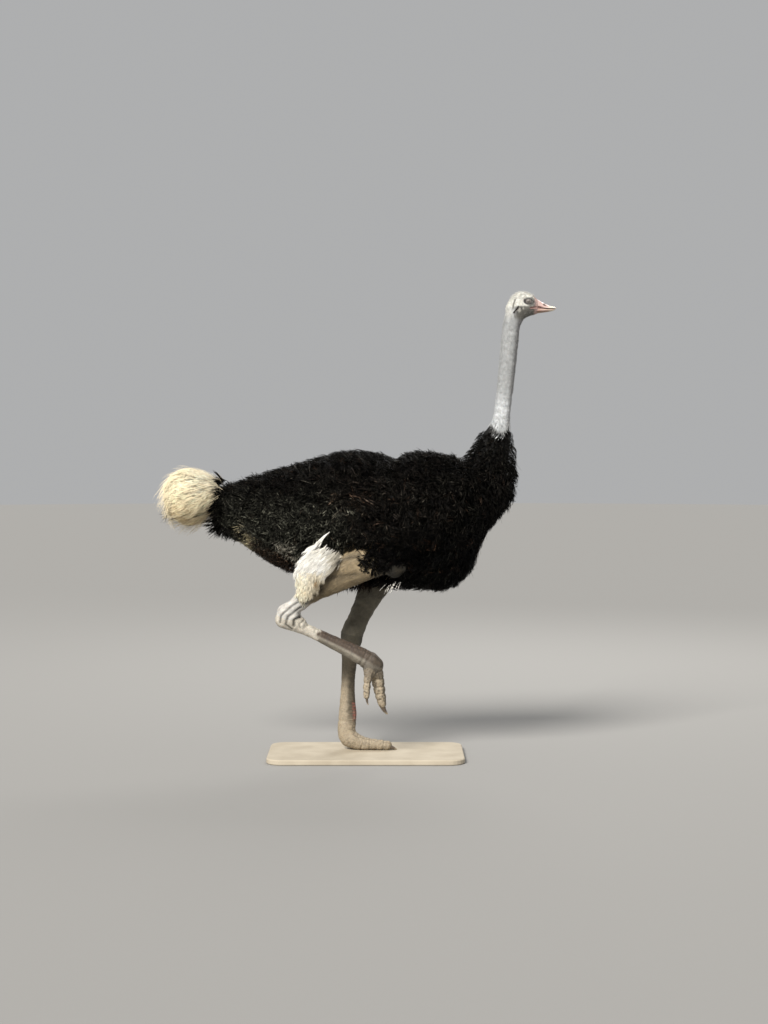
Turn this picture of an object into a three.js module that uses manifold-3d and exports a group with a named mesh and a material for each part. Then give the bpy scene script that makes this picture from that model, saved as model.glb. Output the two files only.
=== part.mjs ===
// A life-size still model of a male Somali ostrich, walking: its left foot bears the weight and its
// right foot is lifted, with the hock bent and the toes hanging. It stands on a flat display base.
// Millimetres. +Z is up, +X the way the bird faces, +Y its left side. The origin is the centre of
// the base's underside. Heights inside the bird are measured from the sole of the foot it stands on.
import * as THREE from "three";
import { mergeVertices } from "three/addons/utils/BufferGeometryUtils.js";
import Module from "manifold-3d";

const wasm = await Module();
wasm.setup();

// ---------------------------------------------------------------- driving dimensions

const GAP = 0.3; // clearance between neighbouring pieces
const LEFT = 1; // the side of the foot that stands
const RIGHT = -1; // the side of the foot that is lifted

const BASE = { length: 900, width: 520, thick: 24, corner: 70, chamfer: 4 };

const CROWN_HEIGHT = 2114; // top of the head above the sole
const BACK_HEIGHT = 1388; // top of the back
const BELLY_HEIGHT = 750; // lowest plumage of the belly
const TRUNK_HALF_WIDTH = 252; // without the wings
const SHANK_LENGTH = 450; // hock joint to the joint of the toes
const EYEBALL_RADIUS = 23;
const NECK_HALF_DEPTH = 38; // bare neck, front to back
const NECK_HALF_WIDTH = 33; // bare neck, side to side

// ---------------------------------------------------------------- materials

const paint = (color, roughness) => new THREE.MeshStandardMaterial({ color, roughness, metalness: 0 });
const MATERIALS = {
  black_plumage: paint("#15120f", 0.85),
  white_plumage: paint("#e6dcc8", 0.85),
  neck_skin: paint("#a9aaa8", 0.75),
  leg_skin: paint("#8c8478", 0.7),
  thigh_skin: paint("#c2ab8a", 0.7),
  bill_horn: paint("#cf9c8c", 0.45),
  claw_horn: paint("#4b4238", 0.4),
  eye: paint("#2a1b12", 0.08),
  base_board: paint("#b9ad98", 0.8),
};

// ---------------------------------------------------------------- shape tools

// A closed surface from rings of equal length, with a point at each end, as a solid facing out.
function skinOver(rings, firstPole, lastPole) {
  const sides = rings[0].length;
  const points = [firstPole, ...rings.flat(), lastPole];
  const last = points.length - 1;
  const index = [];
  for (let s = 0; s < sides; s++) {
    const next = (s + 1) % sides;
    index.push(0, 1 + next, 1 + s);
    for (let r = 0; r + 1 < rings.length; r++) {
      const a = 1 + r * sides;
      const b = a + sides;
      index.push(a + s, a + next, b + next, a + s, b + next, b + s);
    }
    const end = 1 + (rings.length - 1) * sides;
    index.push(last, end + s, end + next);
  }
  return closedSolid(points, index);
}

// Turns points and triangles into a solid, reversing the faces when they point inwards.
function closedSolid(points, index) {
  const vertProperties = new Float32Array(points.flatMap((p) => [p.x, p.y, p.z]));
  const build = (order) =>
    new wasm.Manifold(new wasm.Mesh({ numProp: 3, vertProperties, triVerts: new Uint32Array(order) }));
  const made = build(index);
  return made.volume() > 0 ? made : build(index.toReversed());
}

// A three.js geometry as a solid.
function solidOf(geometry) {
  const bare = geometry.clone();
  bare.deleteAttribute("normal");
  bare.deleteAttribute("uv");
  const merged = mergeVertices(bare, 1e-3);
  const position = merged.getAttribute("position");
  const points = [];
  for (let i = 0; i < position.count; i++) {
    points.push(new THREE.Vector3().fromBufferAttribute(position, i));
  }
  return closedSolid(points, [...merged.index.array]);
}

// A point on a superellipse with half sizes of 1; power 2 is an ellipse, and more is squarer.
function around(angle, power) {
  const soften = (v) => Math.sign(v) * Math.abs(v) ** (2 / power);
  return [soften(Math.cos(angle)), soften(Math.sin(angle))];
}

// A smooth line through [x, value] points, as a function of x.
function lineThrough(points) {
  const slope = (i) => {
    const a = points[Math.max(i - 1, 0)];
    const b = points[Math.min(i + 1, points.length - 1)];
    return (b[1] - a[1]) / (b[0] - a[0]);
  };
  return (x) => {
    let i = points.findIndex((p) => p[0] > x) - 1;
    if (i === -2) i = points.length - 2;
    i = Math.max(i, 0);
    const [x0, v0] = points[i];
    const [x1, v1] = points[i + 1];
    const span = x1 - x0;
    const t = THREE.MathUtils.clamp((x - x0) / span, 0, 1);
    const rest = 1 - t;
    return (
      v0 * (1 + 2 * t) * rest * rest +
      v1 * t * t * (3 - 2 * t) +
      slope(i) * span * t * rest * rest -
      slope(i + 1) * span * t * t * rest
    );
  };
}

// A body along X, between a top line and a bottom line, as wide as its half line says at its widest
// level. The ends are rounded over the lengths in `rounding`.
function bodyAlongX(form, grow = 0) {
  const { from, to, rounding, sections, sides, power = 2, widest = 0.5 } = form;
  const top = lineThrough(form.top);
  const bottom = lineThrough(form.bottom);
  const half = lineThrough(form.half);
  const x0 = from - grow;
  const x1 = to + grow;
  const shrink = (x) => {
    const low = THREE.MathUtils.clamp((x - x0) / rounding[0], 0, 1);
    const high = THREE.MathUtils.clamp((x1 - x) / rounding[1], 0, 1);
    return Math.sqrt(1 - (1 - low) ** 2) * Math.sqrt(1 - (1 - high) ** 2);
  };
  const middle = (x) => bottom(x) + (top(x) - bottom(x)) * widest;
  const rings = [];
  for (let i = 1; i < sections; i++) {
    const x = x0 + ((x1 - x0) * (1 - Math.cos((Math.PI * i) / sections))) / 2;
    const z = middle(x);
    const ring = [];
    for (let s = 0; s < sides; s++) {
      const [across, up] = around((2 * Math.PI * s) / sides, power);
      const reach = up > 0 ? top(x) - z : z - bottom(x);
      ring.push(
        new THREE.Vector3(x, across * (half(x) * shrink(x) + grow), z + up * (reach * shrink(x) + grow)),
      );
    }
    rings.push(ring);
  }
  return skinOver(rings, new THREE.Vector3(x0, 0, middle(x0)), new THREE.Vector3(x1, 0, middle(x1)));
}

// A limb along a smooth line through stations {at, deep, wide}, where deep is the half size in the
// plane of the bend and wide the half size across it. It runs between the shares `from` and `to` of
// its stations. A round end bulges by `bulge` of its half size, and any other end is flat. `lean`
// turns its sections round the line.
function limb(stations, form, grow = 0) {
  const { rings: count, sides, from = 0, to = 1, power = 2, round = [true, true] } = form;
  const { bulge = 0.8, lean = 0 } = form;
  const line = new THREE.CatmullRomCurve3(stations.map((s) => new THREE.Vector3(...s.at)));
  const sizes = new THREE.CatmullRomCurve3(stations.map((s) => new THREE.Vector3(s.deep, s.wide, 0)));
  sizes.curveType = "catmullrom";
  const CAP_RINGS = 2;
  const rings = [];
  const ringAt = (t, along, scale) => {
    const centre = line.getPoint(t);
    const tangent = line.getTangent(t);
    const side = new THREE.Vector3(0, 1, 0).addScaledVector(tangent, -tangent.y).normalize();
    side.applyAxisAngle(tangent, lean);
    const up = new THREE.Vector3().crossVectors(tangent, side);
    const size = sizes.getPoint(t);
    centre.addScaledVector(tangent, along);
    const ring = [];
    for (let s = 0; s < sides; s++) {
      const [across, high] = around((2 * Math.PI * s) / sides, power);
      ring.push(
        centre
          .clone()
          .addScaledVector(side, across * (size.y * scale + grow))
          .addScaledVector(up, high * (size.x * scale + grow)),
      );
    }
    return { ring, centre };
  };
  const reach = (t, end) => (round[end] ? bulge * Math.min(sizes.getPoint(t).x, sizes.getPoint(t).y) : 0);
  const lowReach = reach(from, 0);
  const highReach = reach(to, 1);
  const cap = (k) => (Math.PI / 2) * (k / (CAP_RINGS + 1));
  if (round[0]) {
    for (let k = CAP_RINGS; k > 0; k--) {
      rings.push(ringAt(from, -lowReach * Math.sin(cap(k)), Math.cos(cap(k))).ring);
    }
  }
  for (let i = 0; i <= count; i++) {
    const past = i === 0 && !round[0] ? -grow : i === count && !round[1] ? grow : 0;
    rings.push(ringAt(from + ((to - from) * i) / count, past, 1).ring);
  }
  if (round[1]) {
    for (let k = 1; k <= CAP_RINGS; k++) {
      rings.push(ringAt(to, highReach * Math.sin(cap(k)), Math.cos(cap(k))).ring);
    }
  }
  return skinOver(
    rings,
    ringAt(from, -lowReach - grow, 0).centre,
    ringAt(to, highReach + grow, 0).centre,
  );
}

// A ball, as a solid.
function ball(centre, radius, turns) {
  const made = new THREE.SphereGeometry(radius, turns, Math.round(turns * 0.7));
  made.rotateX(Math.PI / 2);
  made.translate(...centre);
  return solidOf(made);
}

// A copy of stations on one side of the body: y grows outwards in the lists.
const onSide = (side, stations) => stations.map((s) => ({ ...s, at: [s.at[0], side * s.at[1], s.at[2]] }));

// ---------------------------------------------------------------- trunk, wings and tail

const TRUNK = {
  from: -716,
  to: 684,
  rounding: [110, 240],
  sections: 24,
  sides: 22,
  widest: 0.52,
  top: [
    [-716, 1225],
    [-610, 1238],
    [-500, 1276],
    [-330, 1324],
    [-140, 1380],
    [0, BACK_HEIGHT],
    [140, 1358],
    [300, 1356],
    [440, 1352],
    [560, 1320],
    [684, 1270],
  ],
  bottom: [
    [-716, 1035],
    [-660, 1000],
    [-590, 978],
    [-450, 880],
    [-313, 814],
    [-150, 782],
    [60, 758],
    [250, BELLY_HEIGHT],
    [380, 745],
    [430, 776],
    [488, 840],
    [525, 945],
    [575, 1012],
    [640, 1062],
    [684, 1100],
  ],
  half: [
    [-716, 62],
    [-600, 116],
    [-420, 176],
    [-200, 232],
    [0, TRUNK_HALF_WIDTH],
    [200, 250],
    [380, 222],
    [540, 172],
    [684, 114],
  ],
};

// The folded wing, from the shoulder to the wrist at its rear end. It leans in over the back.
const WING_LEAN = THREE.MathUtils.degToRad(18);
const WING = [
  { at: [466, 96, 1226], deep: 88, wide: 100 },
  { at: [400, 104, 1218], deep: 172, wide: 128 },
  { at: [270, 112, 1164], deep: 240, wide: 158 },
  { at: [110, 116, 1114], deep: 242, wide: 166 },
  { at: [-40, 120, 1074], deep: 190, wide: 156 },
  { at: [-150, 124, 1032], deep: 116, wide: 132 },
];

// The white plumes that hang from the wing's end.
const WING_PLUMES = [
  { at: [-96, 240, 1030], deep: 34, wide: 20 },
  { at: [-178, 246, 948], deep: 74, wide: 27 },
  { at: [-226, 240, 862], deep: 84, wide: 30 },
  { at: [-258, 222, 782], deep: 58, wide: 26 },
  { at: [-284, 206, 726], deep: 24, wide: 14 },
];

// The bush of pale tail plumes.
const TAIL = [
  { at: [-655, 0, 1168], deep: 62, wide: 66 },
  { at: [-722, 0, 1174], deep: 108, wide: 112 },
  { at: [-800, 0, 1176], deep: 134, wide: 142 },
  { at: [-868, 0, 1170], deep: 116, wide: 124 },
  { at: [-896, 0, 1166], deep: 84, wide: 90 },
];

// ---------------------------------------------------------------- neck and head

const NECK = [
  { at: [470, 0, 1150], deep: 190, wide: 150 },
  { at: [548, 0, 1262], deep: 150, wide: 122 },
  { at: [584, 0, 1362], deep: 112, wide: 92 },
  { at: [603, 0, 1448], deep: 74, wide: 64 },
  { at: [618, 0, 1510], deep: 42, wide: 38 },
  { at: [632, 0, 1620], deep: NECK_HALF_DEPTH - 1, wide: NECK_HALF_WIDTH },
  { at: [646, 0, 1750], deep: NECK_HALF_DEPTH, wide: NECK_HALF_WIDTH },
  { at: [658, 0, 1875], deep: NECK_HALF_DEPTH + 1, wide: NECK_HALF_WIDTH + 1 },
  { at: [667, 0, 1968], deep: NECK_HALF_DEPTH + 2, wide: NECK_HALF_WIDTH + 1 },
  { at: [682, 0, 2036], deep: NECK_HALF_DEPTH, wide: NECK_HALF_WIDTH },
];
const NECK_BASE_ENDS = 4 / 9; // where the plumage stops, as a share of the stations
const NECK_MIDDLE = 6 / 9;
const NECK_TOP = 8 / 9;
const NECK_GAP = (GAP / 2 / 120) * (1 / 9); // half the clearance, where stations are 120 apart

const SKULL = {
  from: 638,
  to: 792,
  rounding: [58, 12],
  sections: 13,
  sides: 18,
  widest: 0.55,
  top: [
    [638, 2068],
    [668, 2098],
    [708, CROWN_HEIGHT],
    [744, 2108],
    [770, 2093],
    [792, 2077],
  ],
  bottom: [
    [638, 1992],
    [690, 1984],
    [722, 1990],
    [752, 2005],
    [792, 2014],
  ],
  half: [
    [638, 30],
    [676, 38],
    [712, 43],
    [742, 44],
    [766, 39],
    [792, 31],
  ],
};
const EYE = { at: [745, 24, 2066] };
const EAR = { at: [684, 43, 2030], radius: 9 };

// The line where the bill closes, which its two halves share.
const MOUTH_LINE = [
  [750, 2041],
  [775, 2043],
  [825, 2036],
  [850, 2036],
  [874, 2038],
];
const lifted = (line, by) => line.map(([x, z]) => [x, z + by]);
const BILL_HALF_WIDTH = [
  [766, 33],
  [790, 30],
  [820, 26],
  [845, 21],
  [862, 15],
  [874, 10],
];
const UPPER_BILL = {
  from: 768,
  to: 875,
  rounding: [6, 14],
  sections: 10,
  sides: 14,
  widest: 0.25,
  top: [
    [766, 2091],
    [788, 2079],
    [816, 2062],
    [842, 2051],
    [860, 2047],
    [875, 2041],
  ],
  bottom: lifted(MOUTH_LINE, GAP / 2),
  half: BILL_HALF_WIDTH,
};
const LOWER_BILL = {
  from: 768,
  to: 868,
  rounding: [6, 12],
  sections: 8,
  sides: 14,
  widest: 0.75,
  top: lifted(MOUTH_LINE, -GAP / 2),
  bottom: [
    [766, 2014],
    [800, 2018],
    [835, 2023],
    [868, 2030],
  ],
  half: BILL_HALF_WIDTH.map(([x, half]) => [x, half - 1.5]),
};

// ---------------------------------------------------------------- legs

// The lifted leg: the shin runs back from the hidden knee to the hock, and the shank forward.
const LIFTED_THIGH = [
  { at: [196, 140, 930], deep: 84, wide: 62 },
  { at: [70, 164, 905], deep: 108, wide: 84 },
  { at: [-80, 172, 846], deep: 92, wide: 76 },
  { at: [-222, 166, 768], deep: 54, wide: 50 },
  { at: [-302, 158, 700], deep: 38, wide: 36 },
  { at: [-364, 152, 650], deep: 46, wide: 40 },
];
const LIFTED_SHANK = [
  { at: [-376, 150, 624], deep: 40, wide: 40 },
  { at: [-337, 149, 606], deep: 34, wide: 35 },
  { at: [-290, 148, 588], deep: 28, wide: 28 },
  { at: [-225, 146, 558], deep: 27, wide: 25 },
  { at: [-148, 142, 520], deep: 31, wide: 25 },
  { at: [-76, 138, 485], deep: 35, wide: 28 },
  { at: [-21, 134, 456], deep: 42, wide: 34 },
  { at: [24, 131, 430], deep: 46, wide: 42 },
];
const LIFTED_TOE_INNER = [
  { at: [46, 116, 396], deep: 34, wide: 28 },
  { at: [53, 112, 342], deep: 30, wide: 27 },
  { at: [60, 110, 298], deep: 26, wide: 28 },
  { at: [70, 109, 256], deep: 23, wide: 25 },
  { at: [76, 108, 230], deep: 18, wide: 21 },
];
const LIFTED_CLAW_INNER = [
  { at: [77, 108, 222], deep: 12, wide: 13 },
  { at: [86, 108, 202], deep: 8.5, wide: 9 },
  { at: [98, 108, 188], deep: 2.5, wide: 2.5 },
];
const LIFTED_TOE_OUTER = [
  { at: [16, 156, 388], deep: 22, wide: 19 },
  { at: [8, 167, 347], deep: 18, wide: 18 },
  { at: [4, 173, 309], deep: 18.5, wide: 19 },
  { at: [4, 176, 276], deep: 14, wide: 15 },
];
const LIFTED_CLAW_OUTER = [
  { at: [5, 177, 268], deep: 6, wide: 6 },
  { at: [7, 178, 252], deep: 4, wide: 4 },
  { at: [11, 179, 241], deep: 1.6, wide: 1.6 },
];

// The leg that stands: its shank is almost upright over the toes.
const SHANK_TOP = 76 + SHANK_LENGTH;
const STANDING_THIGH = [
  { at: [100, 138, 905], deep: 98, wide: 82 },
  { at: [60, 124, 808], deep: 82, wide: 72 },
  { at: [9, 106, 696], deep: 57, wide: 54 },
  { at: [-38, 92, 600], deep: 50, wide: 42 },
  { at: [-62, 84, 546], deep: 54, wide: 44 },
];
const STANDING_SHANK = [
  { at: [-68, 82, SHANK_TOP - 12], deep: 55, wide: 44 },
  { at: [-74, 78, SHANK_TOP - 66], deep: 42, wide: 35 },
  { at: [-82, 68, 345], deep: 32, wide: 26 },
  { at: [-86, 62, 240], deep: 35, wide: 27 },
  { at: [-86, 57, 160], deep: 43, wide: 34 },
  { at: [-92, 53, 86], deep: 43, wide: 42 },
];
const STANDING_TOE_INNER = [
  { at: [-56, 42, 42], deep: 40, wide: 34 },
  { at: [-10, 37, 28], deep: 33, wide: 33 },
  { at: [34, 33, 25], deep: 27, wide: 29 },
  { at: [76, 30, 22], deep: 23, wide: 28 },
  { at: [102, 29, 18], deep: 19, wide: 23 },
];
const STANDING_CLAW_INNER = [
  { at: [104, 29, 15], deep: 12, wide: 14 },
  { at: [122, 29, 10], deep: 9, wide: 10 },
  { at: [140, 29, 4.5], deep: 2.8, wide: 3 },
];
const STANDING_TOE_OUTER = [
  { at: [-64, 82, 34], deep: 29, wide: 24 },
  { at: [-28, 102, 19], deep: 22, wide: 21 },
  { at: [6, 121, 17], deep: 19, wide: 19 },
  { at: [30, 134, 14], deep: 15, wide: 16 },
];
const STANDING_CLAW_OUTER = [
  { at: [34, 136, 11], deep: 6.5, wide: 7 },
  { at: [47, 143, 8], deep: 5, wide: 5 },
  { at: [58, 149, 4.5], deep: 1.8, wide: 1.8 },
];

// ---------------------------------------------------------------- building

const model = new THREE.Group();
const bird = new THREE.Group();
bird.position.z = BASE.thick;
model.add(bird);

// Adds one named piece to a group, from a solid.
function addPiece(group, name, solid, material) {
  const mesh = solid.getMesh();
  const geometry = new THREE.BufferGeometry();
  const points = new Float32Array(mesh.numVert * 3);
  for (let i = 0; i < mesh.numVert; i++) {
    points.set(mesh.vertProperties.subarray(i * mesh.numProp, i * mesh.numProp + 3), i * 3);
  }
  geometry.setAttribute("position", new THREE.BufferAttribute(points, 3));
  geometry.setIndex(new THREE.BufferAttribute(mesh.triVerts, 1));
  geometry.computeVertexNormals();
  const made = new THREE.Mesh(geometry, material);
  made.name = name;
  group.add(made);
}

// A solid less what its neighbours take up, each with the clearance round it. Where a neighbour
// cuts a sliver off, only the main body is left.
function cutBy(solid, ...neighbours) {
  const left = neighbours.reduce((rest, n) => rest.subtract(n), solid);
  return left.decompose().reduce((most, body) => (body.volume() > most.volume() ? body : most));
}

// The ground that the standing toes press flat on, as a block that reaches GAP above the base.
function groundBlock() {
  const block = new THREE.BoxGeometry(BASE.length, BASE.width, 200);
  block.translate(0, 0, GAP - 100);
  return solidOf(block);
}

function addBase() {
  const { length, width, thick, corner, chamfer } = BASE;
  const outline = new THREE.Shape();
  const x = length / 2 - chamfer;
  const y = width / 2 - chamfer;
  outline.moveTo(-x + corner, -y);
  outline.lineTo(x - corner, -y);
  outline.absarc(x - corner, -y + corner, corner, -Math.PI / 2, 0);
  outline.absarc(x - corner, y - corner, corner, 0, Math.PI / 2);
  outline.absarc(-x + corner, y - corner, corner, Math.PI / 2, Math.PI);
  outline.absarc(-x + corner, -y + corner, corner, Math.PI, 1.5 * Math.PI);
  const board = new THREE.ExtrudeGeometry(outline, {
    depth: thick - 2 * chamfer,
    bevelThickness: chamfer,
    bevelSize: chamfer,
    bevelSegments: 1,
    curveSegments: 3,
  });
  board.translate(0, 0, chamfer);
  addPiece(model, "stand_base", solidOf(board), MATERIALS.base_board);
}

function addLeg(name, side, forms, trunk) {
  const thighForm = { rings: 7, sides: 14 };
  const shankForm = { rings: 9, sides: 12, power: 2.2 };
  const toeForm = { rings: 6, sides: 10, power: 2.3 };
  const clawForm = { rings: 3, sides: 8 };
  const [thigh, shank, inner, outer, clawInner, clawOuter] = forms.map((form) => onSide(side, form));
  const ground = groundBlock();
  const thighSpace = limb(thigh, thighForm, GAP);
  const shankSpace = limb(shank, shankForm, GAP);
  const innerSpace = limb(inner, toeForm, GAP);
  const outerSpace = limb(outer, toeForm, GAP);
  addPiece(bird, `thigh_${name}`, cutBy(limb(thigh, thighForm), trunk, shankSpace), MATERIALS.thigh_skin);
  addPiece(bird, `shank_${name}`, limb(shank, shankForm), MATERIALS.leg_skin);
  const toeInner = cutBy(limb(inner, toeForm), shankSpace, ground);
  addPiece(bird, `toe_inner_${name}`, toeInner, MATERIALS.leg_skin);
  const toeOuter = cutBy(limb(outer, toeForm), shankSpace, innerSpace, ground);
  addPiece(bird, `toe_outer_${name}`, toeOuter, MATERIALS.leg_skin);
  const bigClaw = cutBy(limb(clawInner, clawForm), innerSpace, ground);
  addPiece(bird, `claw_inner_${name}`, bigClaw, MATERIALS.claw_horn);
  const smallClaw = cutBy(limb(clawOuter, clawForm), outerSpace, ground);
  addPiece(bird, `claw_outer_${name}`, smallClaw, MATERIALS.claw_horn);
  return { thighSpace, shankSpace };
}

function addWing(name, side, trunk, neckBase, leg) {
  const wingForm = { rings: 8, sides: 16, bulge: 0.5, lean: -side * WING_LEAN };
  const plumeForm = { rings: 7, sides: 12, bulge: 0.6 };
  const wing = onSide(side, WING);
  const plumes = onSide(side, WING_PLUMES);
  const folded = cutBy(limb(wing, wingForm), trunk, neckBase, leg.thighSpace);
  addPiece(bird, `wing_${name}`, folded, MATERIALS.black_plumage);
  const hanging = cutBy(limb(plumes, plumeForm), trunk, leg.thighSpace, limb(wing, wingForm, GAP));
  addPiece(bird, `wing_plumes_${name}`, hanging, MATERIALS.white_plumage);
}

function addNeck(trunk) {
  const flatEnds = [false, false];
  const base = { rings: 7, sides: 20, to: NECK_BASE_ENDS - NECK_GAP, round: [true, false] };
  const lower = {
    rings: 4,
    sides: 16,
    from: NECK_BASE_ENDS,
    to: NECK_MIDDLE - NECK_GAP,
    round: flatEnds,
  };
  const upper = { rings: 4, sides: 16, from: NECK_MIDDLE, to: NECK_TOP, round: flatEnds };
  addPiece(bird, "neck_base", cutBy(limb(NECK, base), trunk), MATERIALS.black_plumage);
  addPiece(bird, "neck_lower", limb(NECK, lower), MATERIALS.neck_skin);
  addPiece(bird, "neck_upper", limb(NECK, upper), MATERIALS.neck_skin);
  return { baseSpace: limb(NECK, base, GAP), upperSpace: limb(NECK, upper, GAP) };
}

function addHead(neck) {
  const neckStump = { rings: 2, sides: 16, from: NECK_TOP, to: 1, round: [false, true] };
  const spaces = [bodyAlongX(UPPER_BILL, GAP), bodyAlongX(LOWER_BILL, GAP)];
  let head = bodyAlongX(SKULL).add(limb(NECK, neckStump));
  for (const [name, side] of [
    ["right", RIGHT],
    ["left", LEFT],
  ]) {
    const centre = [EYE.at[0], side * EYE.at[1], EYE.at[2]];
    addPiece(bird, `eye_${name}`, ball(centre, EYEBALL_RADIUS, 12), MATERIALS.eye);
    const earHole = ball([EAR.at[0], side * EAR.at[1], EAR.at[2]], EAR.radius, 8);
    head = cutBy(head, ball(centre, EYEBALL_RADIUS + GAP, 12), earHole);
  }
  addPiece(bird, "head", cutBy(head, neck, ...spaces), MATERIALS.neck_skin);
  addPiece(bird, "bill_upper", bodyAlongX(UPPER_BILL), MATERIALS.bill_horn);
  addPiece(bird, "bill_lower", bodyAlongX(LOWER_BILL), MATERIALS.bill_horn);
}

function addTail(trunk) {
  const bush = limb(TAIL, { rings: 6, sides: 16, bulge: 0.35 });
  addPiece(bird, "tail", cutBy(bush, trunk), MATERIALS.white_plumage);
}

const trunkSpace = bodyAlongX(TRUNK, GAP);
addBase();
addPiece(bird, "trunk", bodyAlongX(TRUNK), MATERIALS.black_plumage);
addTail(trunkSpace);
const neck = addNeck(trunkSpace);
addHead(neck.upperSpace);
const liftedForms = [
  LIFTED_THIGH,
  LIFTED_SHANK,
  LIFTED_TOE_INNER,
  LIFTED_TOE_OUTER,
  LIFTED_CLAW_INNER,
  LIFTED_CLAW_OUTER,
];
const standingForms = [
  STANDING_THIGH,
  STANDING_SHANK,
  STANDING_TOE_INNER,
  STANDING_TOE_OUTER,
  STANDING_CLAW_INNER,
  STANDING_CLAW_OUTER,
];
const rightLeg = addLeg("right", RIGHT, liftedForms, trunkSpace);
const leftLeg = addLeg("left", LEFT, standingForms, trunkSpace);
addWing("right", RIGHT, trunkSpace, neck.baseSpace, rightLeg);
addWing("left", LEFT, trunkSpace, neck.baseSpace, leftLeg);

export default model;
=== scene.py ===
"""A life-size male ostrich, walking, on a display base: skin, plumage, bill, eyes, claws and base.

Metres, +Z up, +X the way the bird faces, +Y its left side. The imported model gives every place.
The skin is one closed mesh, a coat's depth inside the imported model. The plumage is solid locks,
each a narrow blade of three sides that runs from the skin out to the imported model's surface.
"""

import math

import bmesh
import bpy
import numpy as np
from mathutils import Matrix, Vector
from mathutils.bvhtree import BVHTree


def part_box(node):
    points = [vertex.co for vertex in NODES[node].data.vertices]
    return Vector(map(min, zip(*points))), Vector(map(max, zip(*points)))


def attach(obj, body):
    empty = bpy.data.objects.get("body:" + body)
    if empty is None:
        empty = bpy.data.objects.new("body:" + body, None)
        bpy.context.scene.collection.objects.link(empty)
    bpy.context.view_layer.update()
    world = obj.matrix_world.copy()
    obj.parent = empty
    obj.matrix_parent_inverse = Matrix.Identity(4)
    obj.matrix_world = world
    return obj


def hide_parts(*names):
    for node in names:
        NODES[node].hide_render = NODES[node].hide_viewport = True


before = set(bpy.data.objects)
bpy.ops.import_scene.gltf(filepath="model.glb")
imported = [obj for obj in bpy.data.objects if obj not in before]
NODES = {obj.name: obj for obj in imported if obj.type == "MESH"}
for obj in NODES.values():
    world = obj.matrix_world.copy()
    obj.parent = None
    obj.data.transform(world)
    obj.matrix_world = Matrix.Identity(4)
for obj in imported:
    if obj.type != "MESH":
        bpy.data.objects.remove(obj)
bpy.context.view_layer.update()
MM = 0.001
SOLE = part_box("stand_base")[1].z  # the level that the standing foot rests on
SIDES = {"right": -1, "left": 1}

# ---- driving sizes, in metres

BODY_VOXEL = 9 * MM
SKIN_VOXEL = 4.7 * MM
PLUME_VOXEL = 7 * MM
BILL_VOXEL = 1.6 * MM
DIP_X = 0.142  # the low place in the outline of the back, behind the hump over the shoulder
DIP_DEEP = 24 * MM
PRESS_STEPS = 4  # the coat's depth is pressed into the body in this many steps
COAT_DEPTH = 42 * MM  # from the skin of the body to the tips of its feathers
RUMP_DEPTH = 24 * MM
NECK_DEPTH = 0.0
PLUMAGE_END = SOLE + 1.500  # where the black plumage stops on the neck
EYE_CENTRE = Vector((0.745, 0.024, SOLE + 2.066))  # of the left eye
EYE_RADIUS = 23 * MM
EYE_OPENING = (16.0 * MM, 10.8 * MM)  # half its length and half its height
EYE_BACK = 4.5 * MM  # how far the opening's middle lies behind the eyeball's
EYE_UP = 3 * MM
EYE_TILT = 0.10  # in radians: the front corner of the eye lies lower
MOUTH_SIDE = 6 * MM  # the nostrils lie farther out than this
EAR = [(0.6975, SOLE + 2.043), (0.688, SOLE + 2.029), (0.677, SOLE + 2.018)]  # a slanted slit
EAR_HALF_WIDTH = 3.8 * MM
GAPE = [(0.752, SOLE + 2.039), (0.762, SOLE + 2.0405), (0.778, SOLE + 2.042)]
NAPE = [(0.681, SOLE + 2.076), (0.674, SOLE + 2.056), (0.671, SOLE + 2.038)]  # behind the ear
PATCH = 0.003  # the width of one tuft on its bake map
LIMB_RADIUS = 0.03  # turns an angle round a limb into a length on it

# The middle line of each limb from its top down, in millimetres above the sole, and its half
# sizes in the plane of its bend and across it.
LIMBS = {
    "thigh_right": [
        (196, -140, 930, 84, 62), (70, -160, 905, 106, 82), (-80, -172, 846, 92, 76),
        (-222, -166, 768, 54, 50), (-302, -158, 700, 38, 36), (-364, -152, 650, 46, 40),
    ],
    "thigh_left": [
        (100, 138, 905, 98, 82), (60, 124, 808, 82, 72), (9, 106, 696, 57, 54),
        (-38, 92, 600, 50, 42), (-62, 84, 546, 54, 44),
    ],
    "shank_right": [
        (-376, -150, 624, 40, 40), (-290, -148, 588, 28, 28), (-225, -146, 558, 27, 25),
        (-148, -142, 520, 31, 25), (-76, -138, 485, 35, 28), (24, -131, 430, 46, 42),
    ],
    "shank_left": [
        (-68, 82, 514, 55, 44), (-74, 78, 460, 42, 35), (-82, 68, 345, 32, 26),
        (-86, 62, 240, 35, 27), (-86, 57, 160, 43, 34), (-92, 53, 86, 43, 42),
    ],
    "toe_inner_right": [
        (46, -116, 396, 34, 28), (53, -112, 342, 30, 27), (60, -110, 298, 26, 28),
        (76, -108, 230, 18, 21),
    ],
    "toe_inner_left": [
        (-56, 42, 42, 40, 34), (-10, 37, 28, 33, 33), (34, 33, 25, 27, 29),
        (102, 29, 18, 19, 23),
    ],
    "toe_outer_right": [
        (16, -156, 388, 22, 19), (8, -167, 347, 18, 18), (4, -173, 309, 18, 19),
        (4, -176, 276, 14, 15),
    ],
    "toe_outer_left": [
        (-64, 82, 34, 29, 24), (-28, 102, 19, 22, 21), (6, 121, 17, 19, 19),
        (30, 134, 14, 15, 16),
    ],
}

LIMB_NAMES = list(LIMBS)
BODY_NODES = ["trunk", "wing_right", "wing_left", "neck_base", "neck_lower", "neck_upper"]

# ---- colours of the bird


def linear(code):
    """A colour given as sRGB hex, as linear values."""
    raw = np.array([int(code[i : i + 2], 16) / 255 for i in (1, 3, 5)])
    return np.where(raw <= 0.04045, raw / 12.92, ((raw + 0.055) / 1.055) ** 2.4)


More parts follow.
